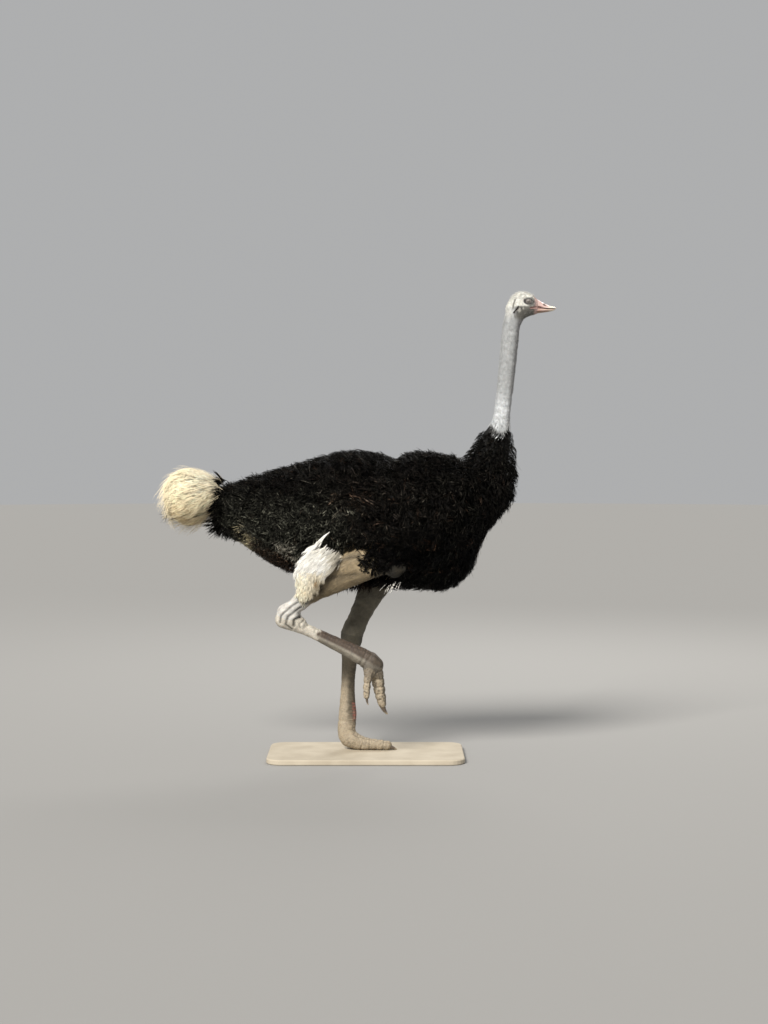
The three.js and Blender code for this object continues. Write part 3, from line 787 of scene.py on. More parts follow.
def head_colour(places, neck):
    """A cream crown over grey cheeks, with dark lids, pink lores, and painted shade in the ear's opening
    and along the groove behind it.
    """
    x, y, z = places[:, 0], np.abs(places[:, 1]), places[:, 2] - SOLE
    flat = np.stack([x, z], 1)
    crown = smooth(2.070, 2.102, z) * smooth(0.775, 0.745, x)
    nape = smooth(0.690, 0.655, x) * smooth(1.97, 2.03, z)
    head = mix(neck, CROWN_CREAM, np.maximum(crown, 0.55 * nape))
    head = mix(head, CROWN_CREAM, 0.85 * smooth(2.036, 2.050, z))
    behind = smooth(0.672, 0.694, x + 0.004 * lumps(places, 0.02, 28))
    head = mix(head, CHEEK_GREY, behind * smooth(1.975, 2.0, z) * smooth(2.051, 2.044, z))
    fore = smooth(0.735, 0.755, x) * smooth(2.085, 2.06, z) * smooth(1.99, 2.0, z)
    head = mix(head, CHEEK_GREY, 0.5 * fore)
    for at, size, tone, strength in EAR_MARKS:
        off = np.hypot((x - at[0]) / size[0], (z - at[1]) / size[1])
        head = mix(head, tone, strength * smooth(1.15, 0.6, off) * (y > 0.02))
    share, along, high, _ = eye_share(places)
    brow = np.exp(-((along / 0.022) ** 2) - (((high - 0.024) / 0.008) ** 2))
    head = mix(head, CROWN_CREAM, 0.8 * brow)
    head = mix(head, LORE_PINK, smooth(0.762, 0.776, x) * (z > 1.98))
    # the lids are darkest below and behind the eye
    rim = 0.45 + 0.55 * smooth(0.012, -0.004, high + 0.6 * along)
    head = mix(head, LID_GREY, smooth(1.50, 1.22, share) * rim)
    wedge = line_distance(flat, [(0.757, 2.082), (0.771, 2.062), (0.768, 2.048)])
    head = mix(head, LID_GREY, 0.6 * smooth(0.010, 0.004, wedge) * (y > 0.008))
    gape = line_distance(places[:, [0, 2]], GAPE)
    head = mix(head, GAPE_PINK, 0.8 * smooth(0.008, 0.002, gape) * (y > 0.012) * (z > 1.98))
    # painted shade in the ear's opening
    head = mix(head, EAR_SHADE, smooth(1.5, 1.0, ear_reach(places)))
    # painted shade along the groove behind the ear
    nape_crease_shade = line_distance(places[:, [0, 2]], NAPE)
    head = mix(head, CHEEK_GREY, 0.9 * smooth(0.0055, 0.002, nape_crease_shade) * (y > 0.02))
    speckle = 0.15 * lumps(places, 0.011, 26) * smooth(1.97, 2.03, z) + 0.08 * lumps(places, 0.013, 27)
    return head * (1 + speckle)[:, None]


def markings(places):
    """The colour of the body, neck and head at these places."""
    bare = smooth(-0.012, 0.004, plumage_edge(places)) * (places[:, 0] > 0.4)
    found = mix(body_colour(places), head_colour(places, neck_colour(places)), bare)
    return found * (1 + 0.06 * lumps(places, 0.02, 23) + 0.05 * lumps(places, 0.006, 24))[:, None]


def leg_markings(places, limbs):
    """The colour of the bare legs, with how scaly and how plated each place is."""
    which, along, angle = limbs
    z = places[:, 2] - SOLE
    x = places[:, 0]
    front = np.cos(angle)
    colours = np.tile(THIGH_TAN, (len(places), 1))
    scaly = np.zeros(len(places))
    plated = np.zeros(len(places))

    def lay(name, colour, scale=0.0, plate=0.0):
        mine = on_limb(which, name)
        colours[mine] = colour[mine]
        scaly[mine] = np.broadcast_to(scale, mine.shape)[mine]
        plated[mine] = np.broadcast_to(plate, mine.shape)[mine]

    streaks = lumps(places @ np.array([[0.8, 0, -0.6], [0, 1, 0], [1.6, 0, 2.2]]), 0.05, 36)
    # the thigh of the lifted leg: cream by the plumes, partly painted light, and tan; greyer below a
    # crease, partly painted shade; darkened at its front under the body and on the knee as painted shade
    crease = np.interp(x, [-0.25, -0.18, -0.06, 0.1], [0.80, 0.822, 0.836, 0.85])
    colour = mix(THIGH_CREAM, THIGH_TAN, smooth(-0.185, -0.115, x + 0.5 * (0.88 - z)))
    colour = mix(colour, THIGH_GREY, 0.35 * smooth(0.1, 0.9, streaks))
    colour = mix(colour, THIGH_GREY, smooth(0.012, -0.012, z - crease) * 0.85)
    colour = mix(colour, SHIN_GREY, smooth(-0.235, -0.285, x))
    # painted shade under the body, over the thigh's front and its knee
    colour = mix(colour, SHADED_SHIN_OLIVE * 0.3, smooth(0.030, 0.06, x))
    knee = np.hypot((x - 0.152) / 0.020, (z - 0.852) / 0.014)
    colour = mix(colour, THIGH_TAN * 0.25, 0.8 * smooth(1.2, 0.5, knee))
    patches = smooth(0.25, 0.8, lumps(places, 0.03, 31)) * smooth(-0.26, -0.33, x)
    colour = mix(colour, HOCK_DARK, 0.22 * patches)
    lay("thigh_right", colour, 0.35 * smooth(-0.22, -0.28, x))
    # the standing leg's thigh: greyer, and olive lower down, as painted shade under the body
    colour = mix(mix(THIGH_TAN, THIGH_GREY, 0.5), SHADED_SHIN_OLIVE, smooth(0.86, 0.72, z))
    lay("thigh_left", colour, 0.35 * smooth(0.75, 0.62, z))
    # the lifted shank: pale behind the hock, then dark mauve down its front, partly painted shade from the
    # body, and olive below
    after = smooth(0.165, 0.180, along + 0.012 * lumps(places, 0.03, 37))
    colour = mix(SHANK_WHITE, SHADED_SHANK_MAUVE, after * smooth(-0.5, 0.2, front))
    colour = mix(colour, SHANK_OLIVE, after * smooth(0.1, -0.6, front) * 0.8)
    colour = mix(colour, FOOT_DARK, smooth(0.36, 0.46, along) * 0.7)
    mottle = smooth(0.3, 0.9, lumps(places * [1, 1, 0.5], 0.03, 32))
    colour = mix(colour, HOCK_DARK, 0.22 * patches + 0.2 * mottle)
    lay("shank_right", colour, 0.8, smooth(0.0, 0.5, front) * smooth(0.10, 0.16, along))
    # the standing shank: olive grey, darker at its top as painted shade under the body, its lower rear
    # pale, with a few red plates low on its front
    colour = mix(SHADED_SHIN_OLIVE, SHANK_OLIVE, smooth(0.0, 0.1, along))
    rear = smooth(0.35, -0.35, front + 0.1 * streaks) * smooth(0.14, 0.27, along)
    colour = mix(colour, FOOT_BEIGE, 0.9 * rear)
    colour = mix(colour, FOOT_BEIGE, smooth(0.32, 0.42, along))
    spots = smooth(0.55, 0.75, front) * smooth(0.285, 0.300, along) * smooth(0.385, 0.370, along)
    colour = mix(colour, SCUTE_RED, 0.75 * spots * (np.sin(along * 2 * math.pi / 0.013) > -0.3))
    lay("shank_left", colour, 0.8, smooth(0.0, 0.5, front) * smooth(0.06, 0.10, along))
    # the toes: dark above, on the lifted foot partly as painted shade, pale and spotted on the pads
    freckles = smooth(0.35, 0.7, lumps(places, 0.014, 38))
    for name in ("toe_inner_right", "toe_outer_right"):
        pale = smooth(0.02, 0.07, along) * smooth(0.9, 0.1, front)
        colour = mix(FOOT_DARK, FOOT_BEIGE * 1.15, np.clip(pale + 0.35, 0, 1))
        lay(name, mix(colour, FOOT_DARK, 0.7 * freckles), 1.0, smooth(0.2, 0.7, front))
    for name in ("toe_inner_left", "toe_outer_left"):
        colour = mix(FOOT_BEIGE, FOOT_DARK, 0.3 * smooth(0.2, 0.9, lumps(places, 0.02, 33)))
        lay(name, colour, 1.0, smooth(0.2, 0.7, front))
    # painted shade from the body over the standing hock
    standing_hock_shade = bell(z - 0.51, 0.055) * on_limb(which, "shank_left")
    colours = colours * (1 - 0.3 * standing_hock_shade)[:, None]
    colours = colours * (1 + 0.07 * lumps(places, 0.04, 34) + 0.05 * lumps(places, 0.010, 35))[:, None]
    return colours, scaly, plated


def coloured_skin(skin):
    """Paints the markings into the skin's mesh, with where the scales and plates are."""
    mesh = skin.data
    places = places_of(mesh)
    which, along, angle = limbs = limb_places(places)
    tint = markings(places)
    legs, scaly, plated = leg_markings(places, limbs)
    on_leg = which >= 0
    tint[on_leg] = legs[on_leg]
    tint[on_wing_plumes(places) & ~on_leg] = PLUME_CREAM * 0.85
    grooves = values_of(mesh.attributes["groove"].data, "vector", 3)
    # painted shade: the skin is darkened in its creases and grooves
    tint = tint * (1 - 0.72 * grooves[:, :1])
    store(mesh, "tint", np.clip(tint, 0.001, 1))
    grid = np.stack([along, angle * LIMB_RADIUS, np.where(on_leg, which, 0) * 0.37], 1)
    store(mesh, "limb_grid", grid)
    soft = (places[:, 2] > PLUMAGE_END) * 1.0
    store(mesh, "scaly", np.stack([scaly * on_leg, plated * on_leg, soft], 1))


def store(mesh, name, values):
    """Keeps three numbers for each vertex, as a colour or a vector."""
    if name == "tint":
        layer = mesh.color_attributes.new(name, "FLOAT_COLOR", "POINT")
        full = np.concatenate([values, np.ones((len(values), 1))], 1)
        layer.data.foreach_set("color", full.astype(np.float32).ravel())
    else:
        layer = mesh.attributes.new(name, "FLOAT_VECTOR", "POINT")
        layer.data.foreach_set("vector", values.astype(np.float32).ravel())


# ---- materials


def add(tree, kind, links=None, **settings):
    """Adds a node: its settings by name, its sockets' values or links in a dictionary."""
    node = tree.nodes.new(kind)
    for key, value in settings.items():
        setattr(node, key, value)
    for socket, value in (links or {}).items():
        if isinstance(value, bpy.types.NodeSocket):
            tree.links.new(value, node.inputs[socket])
        else:
            node.inputs[socket].default_value = value
    return node


def new_material(name, **sockets):
    """A material with one Principled shader, and its tree and shader."""
    made = bpy.data.materials.new(name)
    made.use_nodes = True
    shader = made.node_tree.nodes["Principled BSDF"]
    for socket, value in sockets.items():
        shader.inputs[socket.replace("_", " ")].default_value = value
    return made, made.node_tree, shader


def ranged(tree, value, low, high, to_low, to_high):
    """A value taken from one range to another."""
    limits = {0: value, 1: low, 2: high, 3: to_low, 4: to_high}
    return add(tree, "ShaderNodeMapRange", limits).outputs[0]


def sums(tree, operation, *values):
    """One step of arithmetic on numbers or sockets."""
    return add(tree, "ShaderNodeMath", dict(enumerate(values)), operation=operation).outputs[0]


def noise(tree, place, scale, detail, **more):
    """The strength of a noise texture, from 0 to 1."""
    sockets = {"Vector": place, "Scale": scale, "Detail": detail, **more}
    return add(tree, "ShaderNodeTexNoise", sockets).outputs["Fac"]


def own_place(tree):
    return add(tree, "ShaderNodeTexCoord").outputs["Object"]


def kept(tree, name, output="Vector"):
    """Numbers kept in the mesh under this name."""
    return add(tree, "ShaderNodeAttribute", attribute_name=name).outputs[output]


def shaded_tint(tree, shader, shade):
    """Makes the mesh's own marking, times a shade, the base colour."""
    base = add(tree, "ShaderNodeVectorMath", {0: kept(tree, "tint", "Color")}, operation="SCALE")
    tree.links.new(shade, base.inputs["Scale"])
    tree.links.new(base.outputs[0], shader.inputs["Base Color"])


def relief(tree, shader, height, strength, distance):
    """Makes a height the surface's relief."""
    sockets = {"Height": height, "Strength": strength, "Distance": distance}
    bump = add(tree, "ShaderNodeBump", sockets)
    tree.links.new(bump.outputs[0], shader.inputs["Normal"])


def bare_skin():
    """Living bird skin: soft and matt, with fine pebbles on the neck, folds, and hard satin scales
    and plates on the shanks and feet."""
    made, tree, shader = new_material("bare_skin", Roughness=0.62, Subsurface_Weight=0.06)
    shader.inputs["Subsurface Radius"].default_value = (0.010, 0.005, 0.003)
    shader.inputs["Specular IOR Level"].default_value = 0.35
    kinds = add(tree, "ShaderNodeSeparateXYZ", {0: kept(tree, "scaly")})
    scaly, plated = kinds.outputs["X"], kinds.outputs["Y"]
    place = own_place(tree)
    # small scales about 5 mm across, and plates about 13 mm by 30 mm
    sockets = {"Vector": place, "Scale": 190.0}
    scales = add(tree, "ShaderNodeTexVoronoi", sockets, feature="F1").outputs["Distance"]
    sockets = {"Vector": kept(tree, "limb_grid"), "Scale": (77.0, 34.0, 60.0)}
    stretch = add(tree, "ShaderNodeMapping", sockets)
    sockets = {"Vector": stretch.outputs[0], "Scale": 1.0, "Randomness": 0.35}
    plates = add(tree, "ShaderNodeTexVoronoi", sockets, feature="DISTANCE_TO_EDGE")
    seams = ranged(tree, plates.outputs["Distance"], 0.0, 0.12, 0.0, 1.0)
    grain = noise(tree, place, 420.0, 3.0)
    folds = noise(tree, place, 70.0, 5.0, Roughness=0.6)
    # colour: blotches, darker seams between the plates and paler scale tops
    blotch = ranged(tree, folds, 0.3, 0.7, 0.82, 1.12)
    tops = ranged(tree, scales, 0.0, 0.8, 1.12, 0.72)
    scale_share = add(tree, "ShaderNodeMix", {0: scaly, 2: 1.0, 3: tops})
    seam_dark = ranged(tree, seams, 0.0, 1.0, 0.55, 1.0)
    sockets = {0: plated, 2: scale_share.outputs[0], 3: seam_dark}
    plate_share = add(tree, "ShaderNodeMix", sockets)
    shaded_tint(tree, shader, sums(tree, "MULTIPLY", blotch, plate_share.outputs[0]))
    pebble = sums(tree, "MULTIPLY", scales, scaly)
    plate = sums(tree, "MULTIPLY", seams, plated)
    low = sums(tree, "SUBTRACT", plate, pebble)
    mixed = sums(tree, "MULTIPLY_ADD", folds, 1.5, low)
    whole = sums(tree, "MULTIPLY_ADD", grain, 0.35, mixed)
    relief(tree, shader, whole, 0.55, 0.0016)
    return made


def barbs(name, rough, sheen, gloss, low, high, grain=480.0):
    """Loose feather barbs: matt, with a soft sheen along their edges. Their colour varies from `low` to
    `high` times the bird's own marking, in specks, which on the black barbs are painted glints: `grain` is
    how many go to a metre."""
    made, tree, shader = new_material(name, Roughness=rough, Sheen_Weight=sheen)
    shader.inputs["Specular IOR Level"].default_value = gloss
    shader.inputs["Sheen Roughness"].default_value = 0.5
    fine = noise(tree, own_place(tree), grain, 2.0)
    shaded_tint(tree, shader, ranged(tree, fine, 0.36, 0.66, low, high))
    relief(tree, shader, fine, 0.3, 0.001)
    return made


# ---- tufts: guides and solid blades

RNG = np.random.default_rng(2114)


def scattered(obj, spacing, test, tries=9):
    """Evenly scattered places on a mesh, about `spacing` apart, where the test allows them."""
    mesh = obj.data
    mesh.calc_loop_triangles()
    corners = places_of(mesh)[values_of(mesh.loop_triangles, "vertices", 3, np.int32)]
    middle = corners.mean(1)
    corners = corners[test(middle)]
    edge = np.cross(corners[:, 1] - corners[:, 0], corners[:, 2] - corners[:, 0])
    area = np.linalg.norm(edge, axis=1) / 2
    count = int(area.sum() / spacing**2 * tries)
    pick = RNG.choice(len(area), count, p=area / area.sum())
    r1, r2 = np.sqrt(RNG.random(count)), RNG.random(count)
    tri = corners[pick]
    w0, w1, w2 = (w[:, None] for w in (1 - r1, r1 * (1 - r2), r1 * r2))
    spots = tri[:, 0] * w0 + tri[:, 1] * w1 + tri[:, 2] * w2
    cells = np.floor(spots / spacing).astype(int)
    taken = {}
    chosen = []
    limit = spacing * spacing * 0.72
    around = [(i, j, k) for i in (-1, 0, 1) for j in (-1, 0, 1) for k in (-1, 0, 1)]
    for number, (cell, spot) in enumerate(zip(cells.tolist(), spots.tolist())):
        free = True
        for i, j, k in around:
            for other in taken.get((cell[0] + i, cell[1] + j, cell[2] + k), ()):
                d0, d1, d2 = spot[0] - other[0], spot[1] - other[1], spot[2] - other[2]
                if d0 * d0 + d1 * d1 + d2 * d2 < limit:
                    free = False
                    break
            if not free:
                break
        if free:
            taken.setdefault(tuple(cell), []).append(spot)
            chosen.append(number)
    normal = unit(edge)[pick[chosen]]
    return spots[chosen], normal


def guides_over(tree, roots, lie, lengths, points=5, swing=0.4):
    """Lines that run over a surface from the roots along a lie, with the surface's normals.
    Each line keeps its own turn away from the lie, of up to `swing` radians."""
    place, normal = nearest(tree, roots)
    turn = RNG.normal(0, swing, len(roots))
    lines, normals = [place], [normal]
    heading = flat_to(lie(place), normal)
    for _ in range(points - 1):
        side = np.cross(normal, heading)
        way = heading * np.cos(turn)[:, None] + side * np.sin(turn)[:, None]
        place, normal = nearest(tree, place + way * (lengths / (points - 1))[:, None])
        heading = flat_to(lie(place), normal)
        lines.append(place)
        normals.append(normal)
    return np.stack(lines, 1), np.stack(normals, 1)


def along_guides(lines, shares):
    """Points at shares from 0 to 1 along each line, read off smoothly."""
    last = lines.shape[1] - 1
    at = np.clip(shares, 0, 1) * last
    low = np.minimum(at.astype(int), last - 1)
    t = (at - low)[..., None]
    rows = np.arange(len(lines))[:, None]
    pick = lambda k: lines[rows, np.clip(k, 0, last)]
    p0, p1, p2, p3 = pick(low - 1), pick(low), pick(low + 1), pick(low + 2)
    return 0.5 * (2 * p1 + (p2 - p0) * t + (2 * p0 - 5 * p1 + 4 * p2 - p3) * t**2
                  + (3 * p1 - p0 - 3 * p2 + p3) * t**3)


class Tufts:
    """Collects blades: middle lines, ways across and outwards, widths, colours and roots."""

    def __init__(self):
        self.rows = []

    def lay(self, lines, normals, width, colours, roots, thick=0.4):
        """One blade per line: `width` has a value per ring, and the last point is the tip."""
        way = np.gradient(lines, axis=1)
        across = unit(np.cross(normals, way))
        outward = unit(np.cross(way, across))
        width = np.broadcast_to(width, lines.shape[:2])[..., None]
        left = lines + across * width * 0.5
        right = lines - across * width * 0.5
        ridge = lines + outward * width * thick
        self.rows.append((left, right, ridge, np.broadcast_to(colours, lines.shape), roots))


def faces_each(rail):
    """How many triangles a blade with such a rail has."""
    return 6 * (rail.shape[1] - 2) + 4


def soft_normals(left, right, ridge):
    """Normals that turn gently across each blade, so that a mass of thin barbs looks soft."""
    across = unit(right - left)
    outward = unit(ridge - (left + right) / 2)
    rings = left.shape[1] - 1
    normals = np.empty((len(left), rings * 3 + 1, 3))
    for k, lean in enumerate((-0.3, 0.3, 0.0)):
        normals[:, k : rings * 3 : 3] = unit(outward + across * lean)[:, :rings]
    normals[:, -1] = outward[:, rings - 1]
    return normals.reshape(-1, 3)


def blade_mesh(name, left, right, ridge, colours, map_places, soft):
    """A mesh of blades from arrays: rings of three points, a tip and a closed root."""
    count, points = left.shape[:2]
    rings = points - 1
    size = rings * 3 + 1
    verts = np.empty((count, size, 3))
    tint = np.ones((count, size, 4))
    for k, rail in enumerate((left, right, ridge)):
        verts[:, k : rings * 3 : 3] = rail[:, :rings]
        tint[:, k : rings * 3 : 3, :3] = colours[:, :rings]
    verts[:, -1] = (left[:, -1] + right[:, -1]) / 2
    tint[:, -1, :3] = colours[:, -1]
    quads = []
    for r in range(rings - 1):
        a, b = r * 3, r * 3 + 3
        quads += [(a, b, b + 1, a + 1), (a + 1, b + 1, b + 2, a + 2), (a + 2, b + 2, b, a)]
    a = (rings - 1) * 3
    ends = [(0, 1, 2), (a, size - 1, a + 1), (a + 1, size - 1, a + 2), (a + 2, size - 1, a)]
    start = (np.arange(count) * size)[:, None]
    loops = start + np.array([corner for face in quads + ends for corner in face])
    sizes = np.tile([4] * len(quads) + [3] * len(ends), count)
    mesh = bpy.data.meshes.new(name)
    mesh.vertices.add(count * size)
    mesh.vertices.foreach_set("co", verts.astype(np.float32).ravel())
    mesh.loops.add(loops.size)
    mesh.loops.foreach_set("vertex_index", loops.astype(np.int32).ravel())
    mesh.polygons.add(len(sizes))
    starts = np.concatenate([[0], np.cumsum(sizes)[:-1]])
    mesh.polygons.foreach_set("loop_start", starts.astype(np.int32))
    mesh.update(calc_edges=True)
    shaded_smooth(mesh)
    if soft:
        mesh.normals_split_custom_set_from_vertices(soft_normals(left, right, ridge).tolist())
    layer = mesh.color_attributes.new("tint", "FLOAT_COLOR", "POINT")
    layer.data.foreach_set("color", tint.astype(np.float32).ravel())
    # the bake map: each blade is a small patch at its root's place
    share = np.empty(size)
    share[:-1] = np.repeat(np.arange(rings) / rings, 3)
    share[-1] = 1.0
    side = np.tile([0.0, 1.0, 0.5], rings).tolist() + [0.5]
    patch = np.stack([np.array(side) - 0.5, share - 0.5], 1) * PATCH
    spots = (map_places[:, None, :] + patch[None]).reshape(-1, 2)
    uv = mesh.uv_layers.new(name="OFBake")
    uv.data.foreach_set("uv", spots[loops.ravel()].astype(np.float32).ravel())
    return mesh


def coat_pieces(name, tufts, material, unwrap, soft=False, most=190000):
    """Makes the collected blades into pieces of at most so many triangles."""
    made = []
    for row in tufts.rows:
        step = most // faces_each(row[0])
        for k in range(0, len(row[0]), step):
            made.append([part[k : k + step] for part in row])
    # rows of the same number of points are put together while they stay small
    groups = []
    for row in made:
        size = len(row[0]) * faces_each(row[0])
        for group in groups:
            if group["points"] == row[0].shape[1] and group["size"] + size <= most:
                group["rows"].append(row)
                group["size"] += size
                break
        else:
            groups.append({"points": row[0].shape[1], "size": size, "rows": [row]})
    pieces = []
    for number, group in enumerate(groups):
        *rails, roots = [np.concatenate(part) for part in zip(*group["rows"])]
        label = name if len(groups) == 1 else f"{name}_{number + 1}"
        mesh = blade_mesh(label, *rails, unwrap(roots), soft)
        mesh.materials.append(material)
        pieces.append(new_object(label, mesh))
    return pieces


def unwrap_of(skin):
    """A function that gives the place of each root on an unwrap of the skin's own shape."""
    coarse = new_object("skin_unwrap", skin.data.copy())
    with_modifier(coarse, "DECIMATE", ratio=9000 / max(len(coarse.data.polygons) * 1.9, 1))
    bpy.context.view_layer.objects.active = coarse
    for obj in bpy.context.selected_objects:
        obj.select_set(False)
    coarse.select_set(True)
    bpy.ops.object.mode_set(mode="EDIT")
    bpy.ops.mesh.select_all(action="SELECT")
    bpy.ops.mesh.quads_convert_to_tris()
    bpy.ops.uv.smart_project(angle_limit=math.radians(66), island_margin=0.004)
    bpy.ops.object.mode_set(mode="OBJECT")
    mesh = coarse.data
    places = places_of(mesh)
    index = values_of(mesh.polygons, "vertices", 3, np.int32)
    spots = values_of(mesh.uv_layers.active.data, "uv", 2).reshape(-1, 3, 2)
    tree = BVHTree.FromPolygons(places.tolist(), index.tolist())
    bpy.data.objects.remove(coarse)

    def place_on_map(roots):
        hits = [tree.find_nearest(r) for r in roots.tolist()]
        face = np.array([h[2] for h in hits])
        at = np.array([h[0] for h in hits])
        a, b, c = (places[index[face, k]] for k in range(3))
        whole = np.linalg.norm(np.cross(b - a, c - a), axis=1)
        wa = np.linalg.norm(np.cross(b - at, c - at), axis=1) / whole
        wb = np.linalg.norm(np.cross(c - at, a - at), axis=1) / whole
        wa, wb = np.clip(wa, 0, 1), np.clip(wb, 0, 1)
        wc = np.clip(1 - wa - wb, 0, 1)
        shares = [w[:, None] for w in (wa, wb, wc)]
        return sum(spots[face, k] * shares[k] for k in range(3))

    return place_on_map


# ---- the black plumage

FEATHER_SPACING = 13.6 * MM
FARTHEST = 0.310  # no feather stands farther than this to the side
RINGS = np.array([0.0, 0.45, 0.80, 1.0])  # where a strand's rings lie along it
ALONG = RINGS[None, :, None]  # the same, for each strand and each of its three coordinates
BLADE_TAPER = np.array([0.55, 1.0, 0.80, 0.0])


def lie_of_plumage(places):
    """The way that the feathers lie: back along the body and down its flanks and neck."""
    x, y, z = places[:, 0], places[:, 1], places[:, 2] - SOLE
    side = np.sign(y)
    flank = smooth(1.30, 1.02, z)
    rear = smooth(0.05, -0.30, x)
    down = -0.18 - 0.55 * flank - 0.30 * flank * rear
    wing = smooth(-0.25, 0.0, x) * smooth(0.52, 0.40, x) * smooth(0.95, 1.05, z)
    down = down - 0.15 * wing
    sideways = side * 0.25 * smooth(0.25, 0.05, np.abs(y)) * smooth(1.2, 1.32, z)
    way = np.stack([np.full(len(x), -1.0), sideways, down], 1)

    def steady(ahead, apart, up):
        return np.stack([np.full(len(x), ahead), side * apart, np.full(len(x), up)], 1)

    neck = smooth(1.20, 1.36, z) * smooth(0.40, 0.50, x)
    way = mix(way, steady(-0.30, 0.1, -1.0), neck)
    way = mix(way, steady(-0.25, 0.12, -1.0), smooth(0.50, 0.60, x) * (1 - neck))
    way = mix(way, steady(-1.0, 0.05, -0.1), smooth(0.84, 0.79, z))
    way = mix(way, steady(-1.0, 0.05, -0.25), smooth(-0.56, -0.66, x))
    return way + swirl(places, (0.16, 41, 0.25), (0.12, 42, 0.2), (0.14, 43, 0.35))


def swirl(places, *rows):
    """A soft unevenness in each direction, from the size of its lumps, a seed and a strength."""
    return np.stack([lumps(places, size, seed) * high for size, seed, high in rows], 1)


def locks(tufts, tree, roots, depth, length, lie, tint, form):
    """Feathers as locks: fans of curled strands that close together at their tips. The depth is
    how far a root lies under the surface, and the form has the numbers of one kind of feather."""
    count = len(roots)
    each = form["strands"]
    lines, outs = guides_over(tree, roots, lie, length, swing=form["swing"])
    if form.get("stiff"):
        shares = np.linspace(0, 1, 5)[None, :, None]
        way = unit(lines[:, 2] - lines[:, 0])[:, None] * (length[:, None, None] * shares)
        lines = lines + (lines[:, :1] + way - lines) * form["stiff"]
        outs = np.repeat(outs[:, 1:2], 5, 1) * form["stiff"] + outs * (1 - form["stiff"])
    strands = np.repeat(np.arange(count), each)
    total = len(strands)
    fan = np.tile(np.linspace(-1, 1, each), count) + RNG.normal(0, 0.22, total)
    start = RNG.uniform(0, 0.30, total)
    reach = RNG.uniform(form.get("shortest", 0.72), 1.0, total)
    shares = start[:, None] + (reach - start)[:, None] * RINGS
    middle = along_guides(lines[strands], shares)
    out = unit(along_guides(outs[strands], shares))
    way = unit(np.gradient(middle, axis=1))
    side = unit(np.cross(out, way))
    long = length[strands]
    # fanned out past the middle, closed towards the tip of the lock
    spread = (np.sin(RINGS * 2.5) * 0.95)[None] * (fan * long * form["fan"])[:, None]
    # each lock curls over to one side at its end, by its own amount
    curl = np.clip(RNG.normal(0, 1, count), -1.5, 1.5)[strands] * form["curl"]
    curl = curl + RNG.normal(0, form["curl"] * 0.4, total)
    hook = (smooth(0.35, 1.0, RINGS) ** 1.3)[None] * (curl * long)[:, None]
    lift = form["lift"]
    own_lift = RNG.normal(lift, abs(lift) * 1.1, count)
    own_lift = np.clip(own_lift, min(-3 * MM, lift), max(10 * MM, lift))
    rise = own_lift[strands] + lumps(roots, form["lump"], 51)[strands] * form["lump_high"]
    rise = rise + RNG.normal(0, form["rough"], total)
    sink = -depth[strands, None] * ((1 - shares) ** 1.7) - 2 * MM * (1 - RINGS)[None]
    ripple = np.sin(RINGS[None] * 5 + RNG.uniform(0, 6, total)[:, None])
    ripple = ripple * form["rough"] * 0.7 * RINGS[None]
    # the lock stands up past its middle, and its tip turns in again
    arch = np.sin(np.clip(RINGS * 1.25, 0, 1.25) * math.pi / 1.45)[None]
    height = sink + rise[:, None] * arch + ripple
    middle = middle + side * (spread + hook)[..., None] + out * height[..., None]
    middle[..., 1] = np.clip(middle[..., 1], -FARTHEST, FARTHEST)
    width = (RNG.uniform(*form["width"], total) * MM)[:, None] * BLADE_TAPER
    colour = tint[strands]
    shade = RNG.uniform(0.8, 1.25, total) * RNG.uniform(form["dark"], form["light"], count)[strands]
    shade = shade * np.exp(np.clip(RNG.normal(0, form["vary"] * 0.5, count), -2, 1.5))[strands]
    shade = shade * np.exp(np.clip(RNG.normal(0, form["vary"], total), -2, 1.6))
    # painted glints: a few strands are made several times brighter
    shade = shade * np.where(RNG.random(total) < form["glints"], form["glint"], 1.0)
    # painted shade towards each strand's root, and a painted highlight towards its tip where tip_shade is
    # above 1
    low, high = form["root_shade"], form["tip_shade"]
    glow = low + (high - low) * smooth(form.get("glow_from", 0.15), 0.8, RINGS)
    glow[-1] = glow[-1] * form.get("end_shade", 1.0)
    colours = colour[:, None] * shade[:, None, None] * glow[None, :, None]
    tufts.lay(middle, out, width, np.clip(colours, 0.0010, 0.97), roots[strands], form["thick"])


BLACK_LOCKS = {
    "strands": 6, "swing": 0.50, "fan": 0.14, "curl": 0.46, "lift": 4.5 * MM, "lump": 0.055,
    "lump_high": 4.5 * MM, "rough": 3.0 * MM, "width": (2.6, 4.2), "dark": 0.6, "light": 1.4,
    "root_shade": 0.25, "tip_shade": 1.7, "shortest": 0.62, "glints": 0.14, "glint": 3.0, "vary": 0.50,
    "thick": 0.4, "glow_from": 0.35, "end_shade": 0.3,
}
WING_LOCKS = dict(BLACK_LOCKS, glints=0.13, glint=4.8, vary=0.60, curl=0.55)
DOWN_LOCKS = dict(BLACK_LOCKS, root_shade=0.85, tip_shade=1.05, dark=0.90, light=1.1, glints=0, vary=0.08,
                  glow_from=0.15, end_shade=1.0, curl=0.25, rough=2.0 * MM)
NECK_LOCKS = dict(BLACK_LOCKS, curl=0.16, lift=6.0 * MM, width=(1.8, 2.8), lump_high=2 * MM,
                  rough=2.4 * MM, swing=0.35, fan=0.16, glint=3.0)
TAIL_LOCKS = dict(BLACK_LOCKS, width=(1.4, 2.5), dark=0.90, light=1.05, root_shade=0.92, tip_shade=1.02,
                  fan=0.12, curl=0.12, lift=3.0 * MM, rough=1.4 * MM, swing=0.26, strands=14,
                  lump_high=3 * MM, glints=0, vary=0.0, thick=0.16, shortest=0.72, end_shade=1.0)
UNDER_LOCKS = dict(TAIL_LOCKS, width=(5.0, 7.5), strands=7, curl=0.08, rough=1.0 * MM,
                   lift=-9 * MM, lump_high=0)
